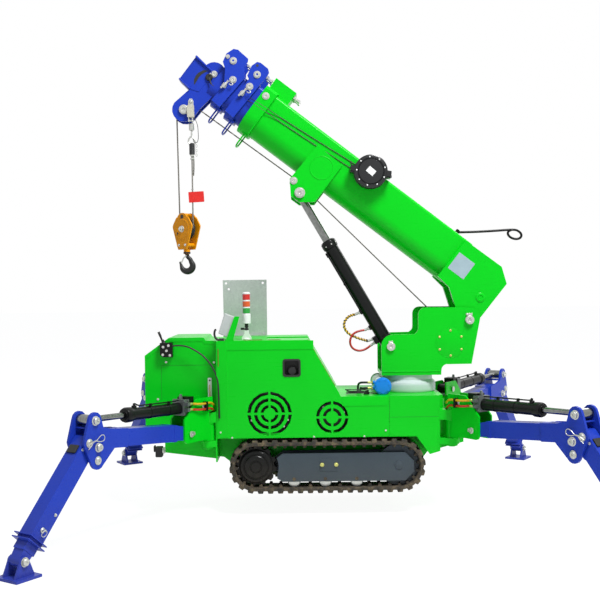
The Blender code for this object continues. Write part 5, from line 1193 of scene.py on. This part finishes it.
# The pigtail is a bent round bar, painted black, in a welded socket on the boom's top. Its eye is drawn out.
foot_at = boom_place @ Vector((0.432, 0, 0.462))
bar = [foot_at, foot_at + Vector((0.016, 0, 0.006)), Vector((1.10, 0, 1.984)), Vector((1.24, 0, 1.990)),
       Vector((1.328, 0, 1.995))]
for i in range(11):
    turn = math.radians(100 - 33 * i)
    x, z = 0.050 * math.cos(turn), 0.032 * math.sin(turn)
    bar.append(Vector((1.381 + x * 0.955 + z * 0.296, 0.0016 * i, 1.962 - x * 0.296 + z * 0.955)))
eye = piece("pigtail_bar", "boom_base", black_enamel, [tube(smooth_path(bar, 5), 0.0088, 14)])
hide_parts("rope_guide")
socket = piece("pigtail_socket", "boom_base", black_enamel,
               [lathe([(0.022, 0), (0.022, 0.010), (0.014, 0.016), (0.014, 0.034), (0.011, 0.038),
                       (0.009, 0.038)],
                      (0.432, 0, 0.455), (0, 0, 1), 28)], boom_place)

# Boom sections. Each of the two middle sections ends in a collar with two side plates, whose pins carry the
# sheaves of the extension ropes. Spring pins with plated handles lock them, and U-shaped guides hang below.
boom_pins("collar_pins_base", "boom_base", [(2.127, 0.405)], 0.0215, 0.1505, 0.010)
boom_pins("collar_pins_2", "boom_2", [(2.270, 0.491), (2.262, 0.390)], 0.0215, 0.1410, 0.012)
boom_pins("collar_pins_3", "boom_3", [(2.469, 0.469), (2.389, 0.358)], 0.0215, 0.1275, 0.012)
boom_pins("collar_studs", "boom_3", [(2.519, 0.469)], 0.0105, 0.1275, 0.010)
# A dark grey disc on each side of the second section's collar is painted shade: it stands for the dark of a
# hole in the collar.
hole_shade_disc = piece("collar_hole_shade", "boom_2", grey_paint_and_painted_shade,
             [lathe([(0.0095, 0.0), (0.0095, 0.0012), (0.0065, 0.0016), (0, 0.0004)],
                    (2.308, facing * 0.1405, 0.544), (0, facing, 0), 24) for facing in (-1, 1)], boom_place)
for name, body, look, slot_name, s, n, half in (
        ("base", "boom_base", green_enamel, "green_paint", 2.100, 0.100, 0.060),
        ("2", "boom_2", blue_enamel, "blue_paint", 2.236, 0.112, 0.058),
        ("3", "boom_3", blue_enamel, "blue_paint", 2.366, 0.122, 0.056)):
    legs = []
    legs.append(tube(smooth_path([(s, -half, n + 0.015), (s, -half, n - 0.070), (s, 0.55 * -half, n - 0.098),
                                  (s, 0.55 * half, n - 0.098), (s, half, n - 0.070), (s, half, n + 0.015)],
                                  4), 0.0060, 10))
    legs.append(boom_box((s - 0.026, s + 0.026), (-half - 0.006, half + 0.006), (n + 0.002, n + 0.020)))
    made = piece(f"rope_guide_bow_{name}", body, look, legs, boom_place)
for s, n, half, body in ((2.412, 0.287, 0.1270, "boom_3"), (2.274, 0.317, 0.1405, "boom_2")):
    axis = Vector((-0.13, 0, 0.99))
    made = piece(f"spring_pin_{body}", body, zinc_plate,
                 [boom_box((s - 0.016, s + 0.016), (half - 0.002, half + 0.020), (n - 0.014, n + 0.014)),
                  lathe([(0.0125, -0.018), (0.0125, 0.018), (0.008, 0.022), (0.008, 0.036), (0.011, 0.038),
                         (0.011, 0.044), (0, 0.044)], (s, half + 0.022, n), axis, 24),
                  tube(smooth_path([(s - 0.022, half + 0.022, n + 0.028),
                                    (s - 0.040, half + 0.028, n + 0.030),
                                    (s - 0.046, half + 0.026, n + 0.042),
                                    (s - 0.034, half + 0.022, n + 0.046)], 4), 0.004, 8),
                  lathe([(0.0085, 0), (0.0085, 0.016), (0.005, 0.020), (0, 0.020)],
                        (s + 0.006, half + 0.022, n - 0.012),
                        (-axis).normalized(), 20)], boom_place, edge=0.0015)
for s, n, body in ((2.186, 0.528, "boom_base"), (1.950, 0.530, "boom_base"), (2.350, 0.515, "boom_2")):
    towards = 1 if s != 1.950 else -1
    made = piece(f"rope_anchor_{body}_{int(s * 100)}", body, zinc_plate,
                 [lathe([(0.016, 0), (0.016, 0.012), (0.010, 0.014), (0.010, 0.040), (0.014, 0.042),
                         (0.014, 0.052), (0, 0.052)],
                        (s - 0.020 * towards, y, n), (towards, 0, 0),
                        6 if y else 20) for y in (-0.045, 0.045)], boom_place)

# Boom head. Two lobed plates carry the head sheave on a plated pin. In front is the channel for a fly jib.
dress(grey_paint_and_painted_shade, "head_sheave", edge=0.002)
boom_pins("head_sheave_pin", "boom_head", [(2.555, -0.020)], 0.030, 0.0730, 0.012)
boom_pins("head_upper_pin", "boom_head", [(2.535, 0.318)], 0.019, 0.0625, 0.008)
knob = piece("jib_knob", "boom_head", black_rubber_and_painted_shade,
             [lathe([(0.024, -0.002), (0.026, 0.004), (0.026, 0.016), (0.020, 0.022), (0, 0.022)],
                    (2.548, 0.0620, 0.276), (0, 1, 0), 28),
              tube(smooth_path([(2.548, 0.078, 0.276), (2.530, 0.082, 0.262), (2.505, 0.084, 0.246),
                                (2.478, 0.084, 0.243)], 4),
                   0.006, 10)], boom_place, edge=0.001)
stud = piece("jib_knob_stud", "boom_head", zinc_plate,
             [lathe([(0.007, 0), (0.007, 0.026), (0.004, 0.030), (0, 0.030)], (2.552, 0.070, 0.300),
                    (0, 1, 0), 16)], boom_place)
# The arc slot through the head's cheeks is painted shade: a thin black sheet in the slot's outline lies on
# each cheek.
slot_edges = [(2.602, 0.165), (2.626, 0.196), (2.634, 0.228), (2.631, 0.257), (2.612, 0.296), (2.582, 0.311),
              (2.594, 0.286), (2.604, 0.262), (2.608, 0.230), (2.604, 0.200)]
arc_slot_shade = piece("jib_arc_slot_shade", "boom_head", black_rubber_and_painted_shade,
             [slab(slot_edges, *sorted((facing * 0.0659, facing * 0.0665))) for facing in (-1, 1)],
             boom_place)
cheeks = []
for facing in (-1, 1):
    low, high = sorted((facing * 0.0460, facing * 0.0660))
    cheeks.append(slab([(2.545, 0.150), (2.600, 0.128), (2.708, 0.142), (2.708, 0.340), (2.560, 0.326),
                        (2.545, 0.300)], low, high))
    low, high = sorted((facing * 0.0500, facing * 0.0840))
    cheeks.append(slab([(2.560, 0.320), (2.716, 0.334), (2.716, 0.344), (2.560, 0.330)], low, high))
    cheeks.append(slab([(2.610, 0.122), (2.716, 0.134), (2.716, 0.144), (2.610, 0.132)], low, high))
channel = piece("jib_cheeks", "boom_head", blue_enamel, cheeks, boom_place, edge=0.0015)

# Luff cylinder. A black honed barrel with a screwed gland, a hard chrome rod, and a block at its foot from
# which two hoses, one yellow with a black guard coil and one red, loop up to the ports.
LUFF_BASE = Vector((LUFF_BASE_AT[0], 0.0, LUFF_BASE_AT[1]))
LUFF_TOP = Vector((-0.192718, 0.0, 2.271493))
luff_along = (LUFF_TOP - LUFF_BASE).normalized()
luff_place = frame_of(luff_along, Vector((0, -1, 0)), luff_along.cross(Vector((0, -1, 0))), LUFF_BASE)
dress(black_enamel, "luff_barrel", edge=0.002)
dress(hard_chrome, "luff_rod", edge=0.002)
gland = [lathe([(0.0500, 0), (0.0560, 0.004), (0.0575, 0.020), (0.0575, 0.048), (0.0540, 0.056),
                (0.0420, 0.058), (0.0390, 0.066),
                (0.0318, 0.067), (0.0314, 0.050)], (0.824, 0, 0), (1, 0, 0), 44),
         lathe([(0.0500, 0), (0.0535, 0.003), (0.0535, 0.012), (0.0500, 0.016)], (0.060, 0, 0), (1, 0, 0),
               44),
         boom_box((0.052, 0.108), (-0.032, 0.032), (-0.078, -0.046)),
         boom_box((0.160, 0.196), (-0.017, 0.017), (-0.060, -0.046)),
         boom_box((0.294, 0.330), (-0.017, 0.017), (-0.060, -0.046)),
         tube([Vector((0.33, 0.028, -0.052)), Vector((0.80, 0.028, -0.052))], 0.0055, 10),
         boom_box((0.776, 0.812), (0.010, 0.038), (-0.062, -0.044)),
         boom_box((0.54, 0.556), (0.016, 0.040), (-0.060, -0.042))]
luff_parts = piece("luff_gland", "luff_barrel", black_enamel, gland, luff_place, edge=0.0012)
screw_heads = [lathe([(0.005, 0), (0.005, 0.003), (0, 0.003)],
                     (0.850, 0.0572 * math.cos(t), 0.0572 * math.sin(t)), (0, math.cos(t), math.sin(t)),
                     12) for t in [2 * math.pi * (i + 0.3) / 8 for i in range(8)]]
screw_heads += [fitting((s, 0, -0.058), (0.15, 0, -1), 0.0095) for s in (0.312, 0.178)]
screw_heads += [fitting((s, 0, -0.076), (-0.1 if s < 0.08 else 0.2, 0, -1), 0.0095) for s in (0.067, 0.095)]
fitted = piece("luff_fittings", "luff_barrel", zinc_plate, screw_heads, luff_place)
yellow_run = [(0.319, 0, -0.100), (0.326, 0, -0.128), (0.326, 0, -0.158), (0.308, 0, -0.194),
              (0.274, 0, -0.214), (0.232, 0, -0.213),
              (0.196, 0, -0.196), (0.160, 0, -0.170), (0.132, 0, -0.145), (0.110, 0, -0.124),
              (0.104, 0, -0.116)]
red_run = [(0.185, 0.004, -0.100), (0.196, 0.012, -0.128), (0.203, 0.018, -0.160), (0.198, 0.022, -0.194),
           (0.176, 0.024, -0.224),
           (0.143, 0.024, -0.240), (0.108, 0.022, -0.236), (0.078, 0.018, -0.212), (0.063, 0.010, -0.178),
           (0.060, 0.004, -0.146), (0.063, 0, -0.118)]
for name, points, look in (("yellow", yellow_run, yellow_hose), ("red", red_run, red_hose)):
    path = [luff_place @ p for p in smooth_path(points, 6)]
    if name == "yellow":
        guard = []
        for i in range(len(path) * 4 - 3):
            k, share = divmod(i, 4)
            middle = path[k].lerp(path[min(k + 1, len(path) - 1)], share / 4)
            ahead = (path[min(k + 1, len(path) - 1)] - path[max(k - 1, 0)]).normalized()
            side = Vector((0, 1, 0))
            up = ahead.cross(side).normalized()
            turn = 2 * math.pi * i / 14
            guard.append(middle + 0.0086 * (math.cos(turn) * side + math.sin(turn) * up))
        coil = piece("luff_hose_guard", "luff_barrel", black_rubber_and_painted_shade, [tube(guard, 0.0030, 6)])
    hose = piece(f"luff_hose_{name}", "luff_barrel", look, [tube(path, 0.0080, 14)])

# Overwind switch. A pressed case on the head's near side, with a shackle above it and its own thin cable.
switch_beige = moulded("powder_coated_switch_case", "C9C6B4", "B5B2A0", 0.42)
case = piece("overwind_switch", "boom_head", switch_beige,
             [slab(rounded((-1.000, 2.832), (-0.950, 2.918), 0.006), -0.103, -0.066)], edge=0.002)
plates = [slab([(-0.996, 2.905), (-0.954, 2.905), (-0.956, 2.955), (-0.966, 2.972), (-0.984, 2.972),
                (-0.994, 2.955)], -0.067, -0.061),
          lathe([(0.013, 0), (0.013, 0.006), (0.009, 0.010), (0, 0.010)], (-0.975, -0.067, 2.950),
                (0, -1, 0), 6),
          block((-0.992, -0.096, 2.800), (-0.985, -0.072, 2.835)),
          block((-0.966, -0.096, 2.800), (-0.959, -0.072, 2.835)),
          lathe([(0.005, 0), (0.005, 0.040)], (-0.995, -0.084, 2.808), (1, 0, 0), 14)]
bracket = piece("switch_bracket", "boom_head", zinc_plate, plates, edge=0.0008)
lead = smooth_path([(-0.955, -0.082, 2.833), (-0.940, -0.084, 2.812), (-0.926, -0.088, 2.770),
                    (-0.922, -0.088, 2.715),
                    (-0.923, -0.084, 2.675), (-0.934, -0.074, 2.652), (-0.950, -0.054, 2.654),
                    (-0.9625, -0.030, 2.672), (-0.9700, -0.010, 2.690)], 5)
wire = piece("switch_cable", "boom_head", hose_rubber, [tube(lead, 0.0022, 8)])

# Rope falls. The left fall runs over the head sheave. The right one ends in a swivel, a wedge socket with
# its spring guard, a clamp and the doubled rope end, and carries a red warning tag, here blank.
LEFT_X, RIGHT_X = -1.0862, -0.9790
falls = [tube([Vector((LEFT_X, 0, 2.885)), Vector((-1.0790, 0.048, 2.030))], 0.0052, 12),
         tube([Vector((RIGHT_X, 0, 2.560)), Vector((-0.9726, -0.048, 2.030))], 0.0052, 12),
         tube(smooth_path([(RIGHT_X + 0.011, 0, 2.560), (RIGHT_X + 0.013, 0, 2.515),
                           (RIGHT_X + 0.012, 0, 2.460), (RIGHT_X + 0.009, 0, 2.420)], 5), 0.0050, 12)]
ropes = piece("rope_falls", "hook", wire_rope, falls)
swivel = [lathe([(0.010, 0), (0.018, 0.004), (0.020, 0.012), (0.020, 0.050), (0.014, 0.058), (0.010, 0.060)],
                (RIGHT_X, 0, 2.748), (0, 0, 1), 28),
          lathe([(0.0065, 0), (0.0065, 0.052)], (RIGHT_X, 0, 2.700), (0, 0, 1), 16),
          tube(smooth_path([(RIGHT_X - 0.002, 0, 2.706), (RIGHT_X - 0.020, 0, 2.690),
                            (RIGHT_X - 0.024, 0, 2.668),
                            (RIGHT_X - 0.010, 0, 2.648), (RIGHT_X + 0.012, 0, 2.648),
                            (RIGHT_X + 0.022, 0, 2.668), (RIGHT_X + 0.016, 0, 2.692)], 4, True), 0.0062, 10),
          lathe([(0.012, 0), (0.015, 0.004), (0.015, 0.030), (0.010, 0.036)], (RIGHT_X + 0.002, 0, 2.560),
                (0, 0, 1), 24),
          lathe([(0.012, 0), (0.014, 0.002), (0.014, 0.012), (0.012, 0.014)], (RIGHT_X + 0.002, 0, 2.538),
                (0, 0, 1), 24)]
chained = piece("rope_swivel", "hook", zinc_plate, swivel)
guard = [lathe([(0.012, 0.0), (0.020, 0.004)]
               + [(0.0195 + 0.0016 * (i % 2), 0.006 + 0.0045 * i) for i in range(17)]
               + [(0.018, 0.084), (0.008, 0.088)], (RIGHT_X + 0.001, 0, 2.572), (0, 0, 1), 30)]
socket = piece("wedge_socket", "hook", grey_paint_and_painted_shade, guard)
links = []
for i in range(6):
    middle = Vector((-0.948 + 0.003 * (i % 2), -0.006, 2.655 - 0.017 * i))
    ring = [middle + Vector(((0.0055 if i % 2 else 0.0) * math.cos(t),
                             (0.0 if i % 2 else 0.0055) * math.cos(t), 0.0105 * math.sin(t)))
            for t in [2 * math.pi * j / 12 for j in range(12)]]
    links.append(tube(ring, 0.0017, 6, True))
links.append(tube(smooth_path([(-0.9700, -0.004, 2.668), (-0.959, -0.006, 2.674), (-0.948, -0.006, 2.664)],
                              4), 0.0017, 6))
chain = piece("weight_chain", "hook", zinc_plate, links)
tag_red = moulded("red_tag_plastic", "E0211A", "C81812", 0.36)
tilt = (Matrix.Translation((-0.948, -0.034, 2.262)) @ Matrix.Rotation(math.radians(-3.5), 4, "Y")
        @ Matrix.Rotation(0.12, 4, "Z"))
tag = piece("warning_tag_blank", "hook", tag_red,
            [slab(rounded((-0.056, -0.039), (0.056, 0.039), 0.005), -0.0012, 0.0012)], tilt, edge=0.0004)
tie = piece("tag_tie", "hook", zinc_plate,
            [tube([Vector((RIGHT_X + 0.001, -0.018, 2.318))
                   + Vector((0.0085 * math.cos(t), 0.0085 * math.sin(t), 0.002 * math.sin(2 * t)))
                   for t in [2 * math.pi * j / 14 for j in range(14)]], 0.0011, 6, True),
             tube(smooth_path([(RIGHT_X, -0.027, 2.318), (-0.962, -0.034, 2.318), (-0.955, -0.035, 2.298)],
                              4), 0.0011, 6)])

# Hook block. Two pressed yellow cheeks on spacers hold a cast sheave; the axle's nut and keeper are plated.
# A forged black hook turns in the swivel neck under them, and a sprung steel latch closes its mouth.
block_yellow = sprayed_enamel("yellow_two_coat_enamel", "EE9C0C", "DE8E06", low=1.7, high=1.8, roughness=0.32)
for part_of in block_yellow.node_tree.nodes:
    if part_of.type == "MAP_RANGE" and part_of.inputs["To Max"].default_value == 0.34:
        part_of.inputs["To Max"].default_value = 0.05
BLOCK_AT = (-1.0258, 0.0, 2.1476)
AXLE_Z = -0.118  # under the block's top
cheek = [(-0.045, -0.268), (0.045, -0.268), (0.054, -0.250), (0.102, -0.112), (0.105, -0.097),
         (0.098, -0.082), (0.062, -0.030)]
cheek += [(0.062 * math.cos(t), -0.062 + 0.062 * math.sin(t))
          for t in [math.pi * (0.12 + 0.76 * i / 10) for i in range(11)]]
cheek += [(-0.062, -0.030), (-0.098, -0.082), (-0.105, -0.097), (-0.102, -0.112), (-0.054, -0.250)]
block_place = Matrix.Translation(BLOCK_AT) @ Matrix.Rotation(math.radians(-42), 4, "Z")
shapes = [slab(cheek, low, high) for low, high in ((-0.0445, -0.0340), (0.0340, 0.0445))]
shapes += [lathe([(0.014, -0.034), (0.014, 0.034)], (x, 0, z), (0, 1, 0), 20)
           for x, z in ((-0.034, -0.235), (0.034, -0.235), (0.0, -0.016))]
shapes += [lathe([(0.024, 0), (0.024, 0.030), (0.019, 0.040), (0.019, 0.052)], (0, 0, -0.300), (0, 0, 1), 28),
           lathe([(0.076, -0.0006), (0.076, 0.0012), (0.070, 0.0030), (0.064, 0.0012), (0, 0.0012)],
                 (0, -0.0445, AXLE_Z), (0, -1, 0), 48)]
cheeks = piece("block_cheeks", "hook", block_yellow, shapes, block_place, edge=0.0022)
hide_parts("hook_block")
wheel = piece("block_sheave", "hook", grey_paint_and_painted_shade,
              [lathe([(0.018, -0.015), (0.030, -0.015), (0.034, -0.009), (0.064, -0.009), (0.076, -0.015),
                      (0.078, -0.013),
                      (0.0665, -0.003), (0.0665, 0.003), (0.078, 0.013), (0.076, 0.015), (0.064, 0.009),
                      (0.034, 0.009),
                      (0.030, 0.015), (0.018, 0.015)], (0, 0, AXLE_Z), (0, 1, 0), 56)], block_place)
# The openings in the block's cheeks are painted shade: thin black sheets in their outlines lie on each cheek.
opening_shades = piece("cheek_opening_shades", "hook", black_rubber_and_painted_shade,
              [slab(rounded((-0.016, -0.060), (0.016, -0.012), 0.014),
                    *sorted((k * 0.0446, k * 0.0450))) for k in (-1, 1)]
              + [slab([(-0.070, -0.160), (-0.052, -0.166), (-0.040, -0.148), (-0.052, -0.136)],
                      *sorted((k * 0.0457, k * 0.0461)))
                 for k in (-1, 1)], block_place)
axle = []
for facing in (-1, 1):
    axle += [lathe([(0.024, 0), (0.024, 0.003), (0, 0.003)], (0, facing * 0.0455, AXLE_Z), (0, facing, 0),
                   28),
             lathe([(0.019, 0.003), (0.020, 0.006), (0.020, 0.016), (0.017, 0.019), (0.010, 0.019)],
                   (0, facing * 0.0455, AXLE_Z), (0, facing, 0), 6),
             lathe([(0.010, 0.015), (0.010, 0.026), (0.007, 0.029), (0, 0.029)],
                   (0, facing * 0.0455, AXLE_Z), (0, facing, 0), 20)]
    for x in (-0.034, 0.034):
        axle.append(bolt((x, facing * 0.0445, -0.235), (0, facing, 0), 0.009))
axle_set = piece("block_axle", "hook", zinc_plate, axle, block_place)
forged = moulded("forged_blackened_steel", "1C1D1D", "0F1010", 0.42, 110.0, 0.0008)
forged.node_tree.nodes["Principled BSDF"].inputs["Metallic"].default_value = 0.3
HOOK_AT = Vector((BLOCK_AT[0], 0, 1.7640))
bend = [(0.0, 0, 0.094), (0.004, 0, 0.066), (0.022, 0, 0.046)]
bend += [(0.041 * math.cos(math.radians(t)), 0, 0.041 * math.sin(math.radians(t)) - 0.002)
         for t in (38, 12, -14, -40, -66, -92, -118, -144, -168)]
bend += [(-0.046, 0, 0.010), (-0.052, 0, 0.028)]
hook_path = [HOOK_AT + p for p in smooth_path(bend, 5)]


def hook_thickness(share):
    """The shank is slim, the belly full and the tip pointed."""
    belly = math.sin(math.pi * min(1.0, max(0.0, (share - 0.10) / 0.80)))
    return 0.0150 + 0.0100 * belly ** 1.4 - 0.0085 * max(0.0, share - 0.80) / 0.20


forging = piece("hook_forging", "hook", forged,
                [tube(hook_path, hook_thickness, 20),
                 lathe([(0.015, 0), (0.026, 0.004), (0.026, 0.016), (0.018, 0.020)], (BLOCK_AT[0], 0, 1.846),
                       (0, 0, 1), 28)])
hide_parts("hook")
latch = piece("hook_latch", "hook", zinc_plate,
              [tube(smooth_path([(-1.0300, y, 1.834), (-1.0480, y, 1.822), (-1.0600, y * 0.7, 1.800),
                                 (-1.0700, y * 0.5, 1.784)], 4),
                    0.0034, 8) for y in (-0.010, 0.010)]
              + [lathe([(0.006, -0.016), (0.006, 0.016)], (-1.0330, 0, 1.834), (0, 1, 0), 16),
                 slab([(-1.0740, 1.779), (-1.0660, 1.776), (-1.0480, 1.818), (-1.0540, 1.822)], -0.0075,
                      0.0075)], edge=0.0008)
